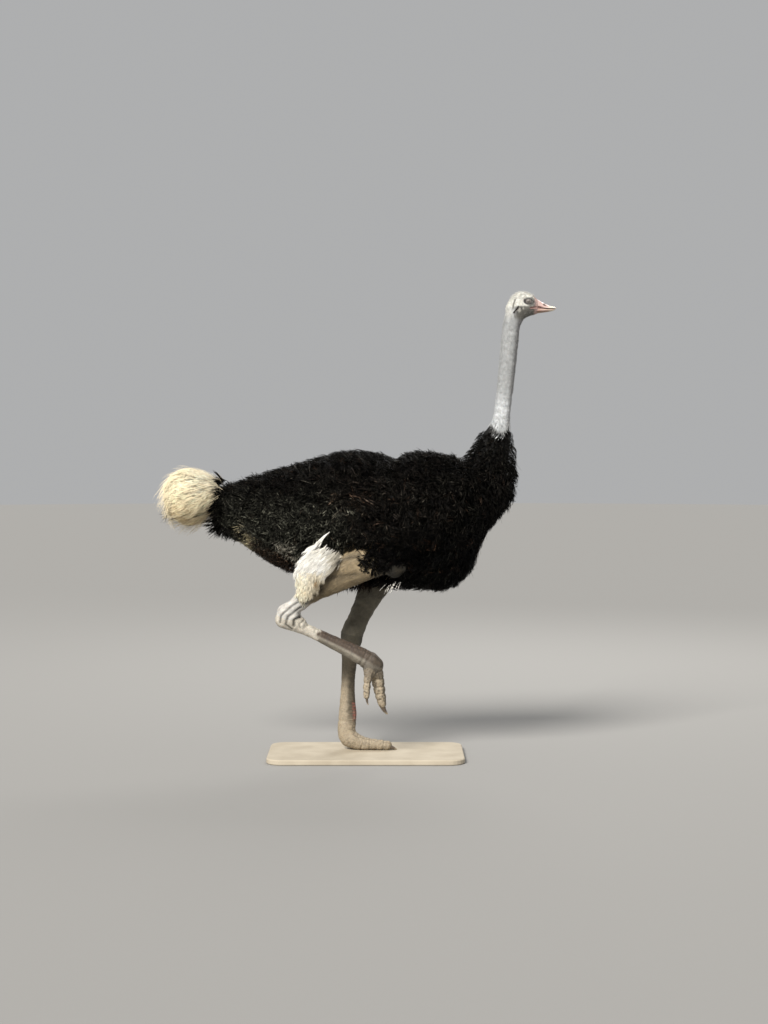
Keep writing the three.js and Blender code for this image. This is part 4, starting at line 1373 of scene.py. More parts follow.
PLUME_LOCKS = dict(TAIL_LOCKS, stiff=0.55, curl=0.05, lift=3.0 * MM, lump_high=1.5 * MM, swing=0.12,
                   rough=1.1 * MM, fan=0.07, shortest=0.6, strands=10, width=(1.5, 2.5),
                   root_shade=0.80, dark=0.70)
WOOL_LOCKS = dict(TAIL_LOCKS, curl=0.12, lift=5.0 * MM, rough=2.2 * MM, strands=12,
                  width=(1.4, 2.3), lump_high=2 * MM, swing=0.2, fan=0.10)

# Where the right thigh is bare, as [x, z] above the sole, and the same for the left thigh.
BARE = {
    "right": [(-0.154, 0.954), (-0.109, 0.909), (-0.073, 0.941), (-0.047, 0.967), (-0.011, 0.945),
              (-0.006, 0.918), (-0.033, 0.878), (-0.033, 0.855), (0.015, 0.838), (0.050, 0.836),
              (0.088, 0.836), (0.110, 0.846), (0.145, 0.868), (0.175, 0.862), (0.183, 0.842),
              (0.165, 0.818), (0.110, 0.800), (0.040, 0.785), (0.016, 0.775),
              (-0.118, 0.731), (-0.292, 0.686), (-0.328, 0.780), (-0.310, 0.878), (-0.279, 0.909),
              (-0.243, 0.962), (-0.185, 1.010), (-0.150, 1.040), (-0.142, 1.032), (-0.185, 0.985),
              (-0.208, 0.954), (-0.181, 0.946), (-0.168, 0.966)],
    "left": [(-0.115, 0.70), (-0.11, 0.86), (-0.05, 0.93), (0.04, 0.935), (0.10, 0.88), (0.15, 0.80),
             (0.17, 0.70)],
}


def bare_depth(places):
    """How far inside the bare area of its side each place lies, or how far outside, if negative."""
    found = np.full(len(places), -1.0)
    flat = places[:, [0, 2]] - [0, SOLE]
    for side, sign in SIDES.items():
        outline = BARE[side]
        away = line_distance(flat, outline + outline[:1])
        deep = away * np.where(inside_line(flat, outline), 1, -1)
        mine = places[:, 1] * sign > 0.02
        found = np.where(mine, deep, found)
    return found


def plumage(hull, hull_tree, skin_tree, tufts):
    """The woolly black coat of the body and the base of the neck."""
    covered = lambda m: (plumage_edge(m) < 0) | (m[:, 0] < 0.4)
    roots, normals = scattered(hull, FEATHER_SPACING, covered)
    # the skin below each root
    on_skin, _ = nearest(skin_tree, roots - normals * 0.01)
    depth = ((roots - on_skin) * normals).sum(1)
    away = np.linalg.norm(roots - on_skin, axis=1)
    neck = smooth(PLUMAGE_END - 0.24, PLUMAGE_END, roots[:, 2]) * (roots[:, 0] > 0.4)
    outside = bare_depth(roots) < -0.004
    low_thigh = roots[:, 2] < SOLE + 0.735
    behind_thigh = (roots[:, 0] < -0.24) & (roots[:, 2] < SOLE + 0.84)
    behind_thigh &= np.abs(roots[:, 1]) > 0.02
    keep = outside & ~low_thigh & ~behind_thigh & ~on_wing_plumes(roots)
    keep = keep & (depth > -0.002) & (away > 3 * MM)
    roots, normals, neck, away = roots[keep], normals[keep], neck[keep], away[keep]
    depth = np.minimum(np.maximum(depth[keep], 2 * MM), coat_depth(roots) * 1.1 + 4 * MM)
    rump = smooth(-0.58, -0.68, roots[:, 0])
    down, _ = pale_down(roots)
    length = (0.060 + 0.020 * RNG.random(len(roots))) * (1 - 0.36 * neck)
    length = length * (1 + 0.25 * rump) * (1 - 0.10 * down)
    thin = smooth(0.030, 0.010, depth) * (1 - neck)
    length = length * (1 - 0.35 * thin)
    # no tip reaches over the bare skin of the thigh
    for _ in range(5):
        heading = flat_to(lie_of_plumage(roots), normals)
        reach = heading * length[:, None]
        over = (bare_depth(roots + reach) > 0.004) | (bare_depth(roots + reach * 0.6) > 0.0)
        length = np.where(over, length * 0.76, length)
    enough = ~(over & (length < 0.03))
    roots, normals, neck, depth, length = (v[enough] for v in (roots, normals, neck, depth, length))
    # a lock shows at its outer half, so it takes the marking of that place
    heading = flat_to(lie_of_plumage(roots), normals)
    shown = roots + heading * length[:, None] * 0.7
    tint = np.where((roots[:, 0] > 0.4)[:, None], markings(roots), markings(shown))
    down, _ = pale_down(shown)
    brown = (RNG.random(len(roots)) < 0.04)[:, None]
    tint = np.where(brown & (down[:, None] < 0.5), tint * 0.7 + BLACK_BROWN * 0.3, tint)
    x, z = roots[:, 0], roots[:, 2] - SOLE
    wing = (x > -0.24) & (x < 0.47) & (z > 0.97) & (z < 1.28) & (np.abs(roots[:, 1]) > 0.10)
    dark = (neck < 0.3) & (down < 0.5)
    kinds = (
        (BLACK_LOCKS, dark & ~wing),
        (WING_LOCKS, dark & wing),
        (NECK_LOCKS, neck >= 0.3),
        (DOWN_LOCKS, (neck < 0.3) & (down >= 0.5)),
    )
    for kind, chosen in kinds:
        locks(tufts, hull_tree, roots[chosen], depth[chosen], length[chosen], lie_of_plumage,
              tint[chosen], kind)


def loose_feathers(tufts, root, way, long, width, tone, strands=4, sag=0.012, apart=0.004):
    """One loose feather that stands free: a few thin strands from one root."""
    for _ in range(strands):
        line = root[None, None] + way * long * RNG.uniform(0.75, 1.1) * ALONG
        line = line + np.array([0, 0, -sag]) * ALONG**2
        line = line + RNG.normal(0, apart, 3) * ALONG
        tufts.lay(line, np.array([0, -0.5, 1.0]), width * BLADE_TAPER, tone, root[None])


def rump_ruff(tufts):
    """A ragged ruff round the rump, over the roots of the tail, with long loose feathers above and
    below it."""
    for angle in np.linspace(0, 2 * math.pi, 46, endpoint=False):
        angle += RNG.normal(0, 0.05)
        up, across = math.sin(angle), math.cos(angle)
        for x, radius in ((-0.655, 0.098), (-0.672, 0.080)):
            root = np.array([x, across * radius * 0.9, SOLE + 1.135 + up * (radius + 0.01) + 0.006])
            way = unit(np.array([-1.0, across * 0.42, up * 0.42]) + RNG.normal(0, 0.16, 3))
            long = RNG.uniform(0.038, 0.068)
            tone = BLACK * RNG.uniform(0.8, 1.6)
            loose_feathers(tufts, root, way, long, 3.6 * MM, tone, strands=5, apart=0.006)
    # by x, z, the way back and up, and the length
    rows = [
        (-0.652, 1.255, -0.62, 0.78, 0.085), (-0.655, 1.248, -0.8, 0.6, 0.065),
        (-0.69, 1.075, -1, 0.12, 0.080), (-0.69, 1.060, -1, 0.0, 0.070),
        (-0.68, 1.045, -1, -0.2, 0.06), (-0.64, 1.262, -0.9, 0.35, 0.05),
    ]
    for x, z, back, up, long in rows:
        for _ in range(5):
            root = np.array([x, RNG.normal(0, 0.025), SOLE + z - 0.012])
            turn = [RNG.normal(0, 0.10), RNG.normal(0, 0.12), RNG.normal(0, 0.10)]
            way = unit(np.array([back + turn[0], turn[1], up + turn[2]]))
            loose_feathers(tufts, root, way, long, 3.0 * MM, BLACK * 1.2, strands=3)


def rump_corner(tufts):
    """Ragged feathers that round off the lower corner of the rump."""
    for _ in range(110):
        x, z = RNG.uniform(-0.665, -0.600), RNG.uniform(-0.018, 0.03)
        low = np.interp(x, [-0.665, -0.600], [1.052, 1.020])
        root = np.array([x, RNG.normal(0, 0.05), SOLE + low + z])
        way = unit(np.array([-0.72, 0.1 * np.sign(root[1]), -0.55]) + RNG.normal(0, 0.22, 3))
        long = RNG.uniform(0.026, 0.046)
        tone = BLACK * RNG.uniform(0.8, 2.2)
        loose_feathers(tufts, root, way, long, 3.0 * MM, tone, apart=0.006)


def any_place(across, sideways, high):
    """A random place within these limits, with its height above the sole."""
    return np.array([RNG.uniform(*across), RNG.uniform(*sideways), SOLE + RNG.uniform(*high)])


def belly_fringe(tufts):
    """Dark feathers that hang from the belly between the thighs."""
    for _ in range(90):
        root = any_place((-0.125, 0.035), (-0.07, 0.10), (0.785, 0.81))
        way = unit(np.array([-0.35, 0, -0.9]) + RNG.normal(0, 0.2, 3))
        long = RNG.uniform(0.030, 0.052)
        tone = BLACK_BROWN * RNG.uniform(0.4, 1.0)
        loose_feathers(tufts, root, way, long, 3.2 * MM, tone, apart=0.006)


def belly_bristles(tufts):
    """A few white bristles under the belly between the thighs."""
    for _ in range(12):
        root = any_place((0.095, 0.165), (-0.20, -0.16), (0.775, 0.80))
        way = unit(np.array([-0.6, -0.15, -0.75]) + RNG.normal(0, 0.15, 3))
        loose_feathers(tufts, root, way, 0.034, 1.8 * MM, PLUME_WHITE * 0.8, strands=1)


def wisps(tufts, hull):
    """Thin single barbs that stand a little off the coat and soften its outline."""
    roots, normals = scattered(hull, 32 * MM, lambda m: m[:, 2] < PLUMAGE_END - 0.01, tries=4)
    keep = (bare_depth(roots) < -0.02) & (roots[:, 2] > SOLE + 0.74)
    roots, normals = roots[keep], normals[keep]
    count = len(roots)
    neck = smooth(PLUMAGE_END - 0.24, PLUMAGE_END, roots[:, 2]) * (roots[:, 0] > 0.4)
    heading = flat_to(lie_of_plumage(roots), normals)
    for _ in range(2):
        out = RNG.uniform(0.08, 0.34, (count, 1)) * np.where(np.abs(roots[:, 1:2]) > 0.22, 0.3, 1.0)
        way = unit(heading + normals * out + RNG.normal(0, 0.28, (count, 3)) * [1, 0.4, 1])
        long = RNG.uniform(0.030, 0.050, (count, 1, 1)) * (1 - 0.35 * neck[:, None, None])
        line = roots[:, None] - normals[:, None] * 0.010 + way[:, None] * long * ALONG
        bend = RNG.normal(0, 0.35, (count, 1, 3)) + np.array([0, 0, -0.3])
        line = line + bend * long * ALONG**2 * 0.5
        tufts.lay(line, normals[:, None], 1.7 * MM * BLADE_TAPER, BLACK_OLIVE * 1.2, roots)


# ---- plumes of the tail and wings


def tail_colour(places):
    """Cream, with buff low down and a few brown patches at the end and below; the buff and brown low down
    are partly painted shade, and the whiter part high near the rump is partly a painted highlight.
    """
    x, z = places[:, 0], places[:, 2] - SOLE
    # buff low down, partly painted shade
    tone = mix(TAIL_CREAM, PLUME_BUFF, smooth(1.20, 1.05, z + 0.25 * (x + 0.75)))
    # partly a painted highlight: whiter high up near the rump
    tone = mix(tone, PLUME_WHITE, 0.3 * smooth(-0.80, -0.68, x) * smooth(1.14, 1.26, z))
    # brown at the end and below, partly painted shade
    far = smooth(-0.83, -0.90, x) * 0.14 + smooth(1.11, 1.05, z) * 0.20
    patchy = smooth(0.1, 0.9, lumps(places, 0.05, 61))
    return mix(tone, PLUME_BROWN, np.clip(far * patchy + 0.06 * patchy, 0, 1))


def lie_of_tail(places):
    """Away from the rump, then down and in where the bush turns over at its end."""
    x, y, z = places[:, 0], places[:, 1], places[:, 2] - SOLE
    over = smooth(-0.84, -0.90, x)
    way = np.stack([np.full(len(x), -1.0), y * 1.5, (z - 1.17) * 1.2 - 0.10 - 0.7 * over], 1)
    return way + swirl(places, (0.07, 44, 0.2), (0.06, 45, 0.3), (0.07, 46, 0.4))


def tail_plumage(tufts, bush, tree):
    """The pale bush of the tail: soft plumes that lie over each other in a dome."""
    roots, normals = scattered(bush, 14 * MM, lambda m: m[:, 0] < -0.60)
    count = len(roots)
    length = 0.080 + 0.040 * RNG.random(count)
    depth = 0.016 + 0.018 * RNG.random(count)
    locks(tufts, tree, roots, depth, length, lie_of_tail, tail_colour(roots), TAIL_LOCKS)
    # a denser layer below, so that no gap shows between the plumes
    under, outs = scattered(bush, 24 * MM, lambda m: m[:, 0] < -0.60)
    many = len(under)
    below = under - outs * 9 * MM
    locks(tufts, tree, below, np.full(many, 0.02), np.full(many, 0.085), lie_of_tail,
          tail_colour(under) * 0.9, UNDER_LOCKS)
    # long barbs that stand off the bush near the rump, and a few thin dark shafts: their colour,
    # width in millimetres, number and how far back they go
    rows = ((TAIL_CREAM, 1.3, 1300, -0.92), (PLUME_BROWN * 0.7, 1.2, 16, -0.74))
    for tone, width, many, back in rows:
        pick = RNG.choice(count, many)
        spot = roots[pick]
        close = spot[:, 0] > back
        spot, out = spot[close], normals[pick][close]
        lean = out * RNG.uniform(0.05, 0.45, (len(spot), 1))
        way = unit(flat_to(lie_of_tail(spot), out) + lean)
        reach = RNG.uniform(0.5, 1.0, (len(spot), 1, 1)) * 0.10
        line = spot[:, None] - out[:, None] * 0.004 + way[:, None] * reach * ALONG
        line = line + (np.array([0, 0, -0.25]) - out[:, None] * 0.15) * reach * ALONG**2
        tufts.lay(line, out[:, None], width * MM * BLADE_TAPER, tone, spot)


# The outlines of the white plumes and of the cream wool under them, as [x, z] above the sole.
WHITE_OUTLINE = [(-0.142, 1.046), (-0.176, 1.016), (-0.212, 0.983), (-0.243, 0.948), (-0.272, 0.912),
                 (-0.288, 0.890), (-0.262, 0.872), (-0.225, 0.878), (-0.175, 0.876), (-0.135, 0.880),
                 (-0.100, 0.905), (-0.092, 0.930), (-0.125, 0.948), (-0.155, 0.958), (-0.172, 0.974),
                 (-0.186, 0.958), (-0.206, 0.962), (-0.203, 0.984), (-0.172, 1.014)]
WOOL_OUTLINE = [(-0.300, 0.876), (-0.248, 0.872), (-0.194, 0.880), (-0.172, 0.862), (-0.196, 0.822),
                (-0.212, 0.790), (-0.238, 0.764), (-0.262, 0.734), (-0.292, 0.728), (-0.306, 0.780),
                (-0.312, 0.830)]


def spots_inside(line, spacing):
    """Places spread over an outline, a little uneven."""
    line = np.array(line)
    low, high = line.min(0), line.max(0)
    rows = [np.arange(a, b, spacing) for a, b in zip(low, high)]
    flat = np.stack(np.meshgrid(*rows), -1).reshape(-1, 2)
    flat = flat + RNG.uniform(-0.5, 0.5, flat.shape) * spacing
    return flat[inside_line(flat, line.tolist())]


def wing_plumes_inner():
    """How far from the middle plane the white plumes' faces towards the body lie."""
    low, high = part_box("wing_plumes_left")
    return min(abs(low.y), abs(high.y))


def on_wing_plumes(places):
    """Which places lie on the white plumes at the end of a wing."""
    flat = places[:, [0, 2]] - [0, SOLE]
    found = inside_line(flat, WHITE_OUTLINE) | inside_line(flat, WOOL_OUTLINE)
    return found & (np.abs(places[:, 1]) > wing_plumes_inner() - 10 * MM)


def white_tone(roots):
    """White, with soft patches of cream and a cream front edge."""
    tone = mix(PLUME_WHITE, PLUME_CREAM, 0.4 * smooth(0.3, 0.9, lumps(roots, 0.05, 63)))
    return mix(tone, THIGH_CREAM, smooth(-0.155, -0.110, roots[:, 0]) * 0.8)


def wool_tone(roots):
    """Cream wool with painted shade in the hollow in its middle."""
    x, z = roots[:, 0], roots[:, 2] - SOLE
    tone = mix(PLUME_CREAM, PLUME_BUFF, 0.3 * smooth(0.0, 0.9, lumps(roots, 0.04, 64)))
    tone = mix(tone, PLUME_WHITE, 0.7 * smooth(0.835, 0.875, z + 0.012 * lumps(roots, 0.03, 65)))
    tone = mix(tone, THIGH_CREAM, smooth(-0.262, -0.235, x) * 0.8)
    fore = smooth(-0.250, -0.205, x + 0.02 * lumps(roots, 0.03, 66))
    tone = mix(tone, THIGH_TAN, fore * smooth(0.86, 0.83, z) * 0.6)
    # painted shade in the hollow of the wool
    hollow = np.hypot((x + 0.213) / 0.016, (z - 0.822) / 0.013)
    return mix(tone, PLUME_BROWN, 0.8 * smooth(1.3, 0.5, hollow))


# The kinds of plume: outline, form of a lock, colour, way they hang, shortest length and spread.
PLUME_KINDS = (
    (WOOL_OUTLINE, WOOL_LOCKS, wool_tone, (-0.34, 0, -0.94), 0.046, 0.026),
    (WHITE_OUTLINE, PLUME_LOCKS, white_tone, (-0.72, 0, -0.69), 0.058, 0.060),
)
PLUME_SPACING = 10.5 * MM
PLUME_LAYERS = 2  # on the outer face; one more covers the face towards the body


def plume_roots(outline, sign, within, tree):
    """Roots on one face of a wing's plumes, found straight in from the side, so that the outline
    keeps its shape."""
    flat = spots_inside(outline, PLUME_SPACING * (1.4 if within else 1.0))
    inner = wing_plumes_inner()
    off = inner - 12 * MM if within else 0.40
    start = np.stack([flat[:, 0], np.full(len(flat), sign * off), flat[:, 1] + SOLE], 1)
    heading = Vector((0, sign if within else -sign, 0))
    hits = [tree.ray_cast(Vector(p), heading)[0] for p in start.tolist()]
    if within:
        return np.array([list(h) for h in hits if h is not None and abs(h.y) < inner + 45 * MM])
    beside, _ = nearest(tree, start)
    near = [h is not None and h.y * sign > 0.12 for h in hits]
    return np.array([h if ok else b for h, ok, b in zip(hits, near, beside.tolist())])


def wing_plumage(tufts, side, tree):
    """The white plumes that hang from a wing's end: ragged, and woolly lower down."""
    for outline, form, tone_of, way, short, more in PLUME_KINDS:

        def lie(places, way=np.array(way)):
            return way + swirl(places, (0.07, 47, 0.16), (1.0, 0, 0.0), (0.06, 48, 0.16))

        for layer in range(PLUME_LAYERS + 1):
            roots = plume_roots(outline, SIDES[side], layer == PLUME_LAYERS, tree)
            if len(roots) == 0:
                continue
            count = len(roots)
            tone = tone_of(roots)
            length = short + more * RNG.random(count)
            own = dict(form, lift=form["lift"] + (5 * MM if layer == 0 else 1 * MM))
            locks(tufts, tree, roots, np.full(count, 1 * MM), length, lie, tone, own)


# ---- fuzz of the neck and head


def raised(lines, outs, sunk, rise, middle):
    """Lines of three points whose root is sunk, whose tip rises and whose middle rises by a share
    of that."""
    sinks = np.array([-sunk, 0, 0])[None, :, None]
    shares = np.array([0, middle, 1.0])[None, :, None]
    return lines + outs * (sinks + rise[:, None, None] * shares)


def fuzz(tufts, skin, skin_tree):
    """Short bristly down: sparse hairs down the neck, a soft cap on the crown, tiny on the face."""

    def area(middle):
        on_bill = middle[:, 0] > 0.772
        return (middle[:, 0] > 0.4) & (plumage_edge(middle) > -0.022) & ~on_bill

    roots, normals = scattered(skin, 3.5 * MM, area, tries=3)
    share = eye_share(roots)[0]
    gape = line_distance(roots[:, [0, 2]], GAPE)
    keep = (share > 1.42) & (gape > 0.006) & (ear_reach(roots) > 1.0)
    keep &= RNG.random(len(roots)) < smooth(-0.022, 0.006, plumage_edge(roots)) + 0.02
    roots, normals = roots[keep], normals[keep]
    z = roots[:, 2] - SOLE
    head = smooth(1.97, 2.03, z)
    crown = smooth(2.065, 2.10, z)
    near_eye = smooth(3.2, 1.6, share[keep]) * head

    def lie(places):
        on_head = smooth(1.96, 2.04, places[:, 2] - SOLE)[:, None]
        down = np.array([-0.12, 0, -1.0])
        back = np.array([-1.0, 0, -0.35])
        sway = lumps(places, 0.04, 71)[:, None] * 0.2
        return down * (1 - on_head) + back * on_head + sway

    count = len(roots)
    length = (7.5 - 2.8 * head + 6.0 * crown - 1.6 * near_eye) * MM * RNG.uniform(0.7, 1.25, count)
    collar = smooth(1.56, 1.50, z)
    length = length * (1 + 1.6 * collar)
    lines, outs = guides_over(skin_tree, roots, lie, length, points=3, swing=0.35)
    rise = (0.34 + 0.36 * crown + 0.1 * RNG.normal(size=count)) * length
    lines = raised(lines, outs, 0.25 * MM, rise, 0.55)
    tint = markings(roots)
    low = (plumage_edge(roots) < 0.004)[:, None]
    tint = np.where(low, NECK_COLLAR * 0.8, tint)
    paler = mix(tint, BRISTLE_TIP, np.clip(0.34 + 0.25 * RNG.normal(size=count), 0, 1))
    paler = paler * np.where(RNG.random(count) < 0.25, 0.45, 1.0)[:, None]
    colours = np.stack([tint, mix(tint, paler, 0.7), paler], 1)
    width = RNG.uniform(0.9, 1.35, (count, 1)) * MM * np.array([1.0, 0.8, 0.0])
    tufts.lay(lines, outs, width, colours, roots)


# ---- bill, eyes, lashes and claws


def bill_half(node):
    """One half of the bill: horn with a ridge, a nail at its tip and, above, slit nostrils."""
    piece = merged_copy(node)
    piece.name = f"{node}_horn"
    with_modifier(piece, "REMESH", mode="VOXEL", voxel_size=BILL_VOXEL)
    evened(piece, 8)
    places, normals = places_of(piece.data), normals_of(piece.data)
    x, y, z = places[:, 0], places[:, 1], places[:, 2] - SOLE
    flat = np.stack([x, z], 1)
    beside = np.abs(y) > MOUTH_SIDE
    press = np.zeros(len(places))
    if node == "bill_upper":
        slit = np.hypot((x - 0.8165 + (z - 2.054) * 1.2) / (6.5 * MM), (z - 2.0540) / (3.6 * MM))
        press += (1 - smooth(0.5, 1.1, slit)) * 2.4 * MM * beside
        press -= bell(slit - 1.7, 0.4) * 0.8 * MM * beside
        hollow = line_distance(flat, [(0.790, 2.056), (0.845, 2.0455)])
        press += bell(hollow, 4 * MM) * 0.8 * MM * (np.abs(y) > 0.010)
        nail = line_distance(flat, [(0.846, 2.052), (0.852, 2.036)])
        press += bell(nail, 1.4 * MM) * 0.7 * MM
    else:
        edge = line_distance(flat, [(0.772, 2.031), (0.82, 2.028), (0.858, 2.0305)])
        press += bell(edge, 1.6 * MM) * 0.8 * MM
    set_places(piece.data, places - normals * press[:, None])
    tint = mix(HORN_ROSE, HORN_DEEP, smooth(2.052, 2.044, z) * smooth(0.815, 0.790, x))
    tint = mix(tint, HORN_CREAM, smooth(0.826, 0.848, x))
    mouth = np.interp(x, [0.772, 0.80, 0.83, 0.862], [2.0415, 2.0390, 2.0366, 2.0372])
    # the lit edges of the two jaws, paler towards the tip
    lip = smooth(0.0, 2 * MM, z - mouth) * smooth(9 * MM, 5 * MM, z - mouth)
    tint = mix(tint, HORN_LIT, 0.8 * lip * smooth(0.795, 0.815, x))
    if node == "bill_lower":
        tint = mix(tint, HORN_BROWN, smooth(2.0285, 2.0245, z) * 0.9)
        tint = mix(tint, HORN_PALE, smooth(2.029, 2.031, z) * smooth(2.036, 2.033, z))
    else:
        tint = mix(tint, HORN_ROOT, smooth(0.790, 0.772, x) * smooth(2.050, 2.066, z) * 0.7)
        # painted highlight along the top of the ridge
        tint = mix(tint, HORN_RIDGE_HIGHLIGHT, smooth(0.800, 0.812, x) * smooth(2.050, 2.056, z) * 0.6)
        # painted shade in the nostril's slit
        slit_shade = (1 - smooth(0.75, 1.15, slit)) * beside
        tint = mix(tint, NOSTRIL_SHADE, slit_shade)
    # the dark line of the closed mouth: painted shade in the gap between the jaws
    gap = np.abs(z - mouth) / (2.7 * MM)
    tint = mix(tint, MOUTH_SHADE, 0.92 * smooth(1.25, 0.5, gap) * smooth(0.870, 0.862, x))
    tint = tint * (1 + 0.06 * lumps(places, 0.012, 81))[:, None]
    store(piece.data, "tint", np.clip(tint, 0.002, 1))
    shaded_smooth(piece.data)
    return piece


def horn(name, rough):
    """Keratin: satin, slightly see-through, with fine growth lines along it."""
    made, tree, shader = new_material(name, Roughness=rough, Subsurface_Weight=0.08)
    shader.inputs["Subsurface Radius"].default_value = (0.004, 0.002, 0.001)
    sockets = {"Vector": own_place(tree), "Scale": (90.0, 520.0, 520.0)}
    stretch = add(tree, "ShaderNodeMapping", sockets)
    lines = noise(tree, stretch.outputs[0], 1.0, 3.0)
    shaded_tint(tree, shader, ranged(tree, lines, 0.3, 0.7, 0.85, 1.1))
    relief(tree, shader, lines, 0.25, 0.0005)
    return made


def eye_ball(side):
    """An eyeball: a dull pupil in a grey-brown iris, both greyer than the eye's own dark brown as a painted
    reflection of the sky, lighter above as painted reflection and darker over the lower lid as painted
    shade."""
    sign = SIDES[side]
    centre = np.array([EYE_CENTRE.x, sign * EYE_CENTRE.y, EYE_CENTRE.z])
    bm = bmesh.new()
    bmesh.ops.create_uvsphere(bm, u_segments=64, v_segments=40, radius=EYE_RADIUS)
    mesh = bpy.data.meshes.new(f"eyeball_{side}")
    bm.to_mesh(mesh)
    bm.free()
    places = places_of(mesh)
    gaze = unit(np.array([-0.14, sign * 1.0, 0.10]))
    # turn the poles to the line of sight
    up = np.array([0.0, 0.0, 1.0])
    across = unit(np.cross(up, gaze))
    high = np.cross(gaze, across)
    turned = places[:, :1] * across + places[:, 1:2] * high + places[:, 2:] * gaze
    off = np.hypot(places[:, 0], places[:, 1]) * np.where(places[:, 2] > 0, 1, 9)
    tint = mix(IRIS_DARK, IRIS_SKY_GREY, smooth(4.0 * MM, 7.5 * MM, off))
    tint = mix(tint, IRIS_EDGE, smooth(11.0 * MM, 14.0 * MM, off))
    # lighter in its upper half as a painted reflection of the sky, darker over the lower lid as painted
    # shade
    tint = tint * (1 + 0.40 * np.clip(places[:, 1] / (11 * MM), -1, 1))[:, None]
    set_places(mesh, turned + centre)
    store(mesh, "tint", tint)
    bm = bmesh.new()
    bm.from_mesh(mesh)
    bmesh.ops.recalc_face_normals(bm, faces=bm.faces)
    bm.to_mesh(mesh)
    bm.free()
    shaded_smooth(mesh)
    return new_object(f"eyeball_{side}", mesh)


def wet_eye():
    """A wet cornea over a grey-brown iris: smooth, with a soft gloss."""
    made, tree, shader = new_material("wet_eye", Roughness=0.16, IOR=1.36)
    shader.inputs["Specular IOR Level"].default_value = 0.25
    tree.links.new(kept(tree, "tint", "Color"), shader.inputs["Base Color"])
    relief(tree, shader, noise(tree, own_place(tree), 160.0, 2.0), 0.03, 0.0004)
    return made


def thigh_down(tufts, skin, skin_tree):
    """Short soft down on the bare thighs, combed towards the hock."""
    bare = lambda m: bare_depth(m) > 0.004
    roots, _ = scattered(skin, 5.5 * MM, bare, tries=3)
    roots = roots[bare(roots)]
    count = len(roots)

    def lie(places):
        sway = lumps(places, 0.05, 72)[:, None] * np.array([0.1, 0, 0.35])
        return np.array([-0.85, 0, -0.5]) + sway

    length = RNG.uniform(13, 22, count) * MM
    lines, outs = guides_over(skin_tree, roots, lie, length, points=3, swing=0.25)
    rise = RNG.uniform(0.06, 0.20, count) * length
    lines = raised(lines, outs, 0.3 * MM, rise, 0.7)
    tint, _, _ = leg_markings(roots, limb_places(roots))
    tone = tint * RNG.uniform(0.75, 1.3, count)[:, None]
    colours = np.stack([tint, tone, tone * 1.12], 1)
    width = RNG.uniform(1.0, 1.7, (count, 1)) * MM * np.array([1.0, 0.85, 0.0])
    tufts.lay(lines, outs, width, colours, roots)


def ear_fringe(tufts):
    """A fringe of stiff little feathers that leans back over each ear's slit."""
    line = np.array(EAR)
    for sign in SIDES.values():
        for t in np.linspace(0, 2, 12):
            low = min(int(t), 1)
            x, z = line[low] + (line[low + 1] - line[low]) * (t - low)
            root = np.array([[x + 6.0 * MM, sign * 0.042, z + 3.5 * MM + RNG.normal(0, 1 * MM)]])
            way = unit(np.array([-0.8, sign * 0.25, -0.5]) + RNG.normal(0, 0.12, 3))
            reach = RNG.uniform(3, 5) * MM
            tone = mix(CHEEK_GREY, CROWN_CREAM, RNG.uniform(0.0, 0.9))
            lines = root[:, None] + way * reach * ALONG
            tufts.lay(lines, np.array([0, sign, 0.2]), 1.3 * MM * BLADE_TAPER, tone, root)


def lashes(tufts):
    """Stiff black lashes along the upper lids, and short ones below."""
    tilt = -EYE_TILT
    for sign in SIDES.values():
        for upper, count, long in ((True, 44, 10.5), (False, 26, 5.0)):
            angle = np.linspace(0.10, 0.92, count) * math.pi + RNG.normal(0, 0.02, count)
            if not upper:
                angle = -angle
            along = np.cos(angle) * EYE_OPENING[0] * 1.06
            high = np.sin(angle) * EYE_OPENING[1] * 1.06
            x = along * math.cos(tilt) - high * math.sin(tilt) - EYE_BACK
            z = along * math.sin(tilt) + high * math.cos(tilt) + EYE_UP
            reach = EYE_RADIUS + 1.8 * MM
            y = np.sqrt(np.maximum(reach**2 - x**2 - z**2, 0))
            centre = np.array([EYE_CENTRE.x, sign * EYE_CENTRE.y, EYE_CENTRE.z])
            root = centre + np.stack([x, sign * y, z], 1)
            out = unit(root - centre)
            away = np.stack([x * 0.8 + RNG.normal(0, 2 * MM, count), sign * 0.016 + 0 * x, z * 0.9], 1)
            length = (long * RNG.uniform(0.75, 1.15, count) * MM)[:, None, None]
            lines = root[:, None] - out[:, None] * 1.5 * MM + unit(away)[:, None] * length * ALONG
            lines = lines + np.array([0, 0, 1.0 if upper else -0.6]) * length * 0.35 * ALONG**2
            tufts.lay(lines, out[:, None], 0.75 * MM * BLADE_TAPER, LASH_BLACK, root)


def claw(node):
    """A blunt nail, rounded from its flats, paler at its worn tip."""
    piece = merged_copy(node)
    piece.name = f"{node}_horn"
    with_modifier(piece, "SUBSURF", levels=2, render_levels=2)
    places, normals = places_of(piece.data), normals_of(piece.data)
    places = places + normals * 0.8 * MM
    set_places(piece.data, places)
    low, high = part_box(node)
    axis = 0 if "left" in node else 2
    share = (places[:, axis] - low[axis]) / (high[axis] - low[axis])
    share = share if axis == 0 else 1 - share
    tint = mix(CLAW_DARK, CLAW_WORN, smooth(0.55, 1.0, share))
    store(piece.data, "tint", np.clip(tint * (1 + 0.08 * lumps(places, 0.008, 91))[:, None], 0, 1))
    shaded_smooth(piece.data)
    return piece


# ---- base, floor, light and camera


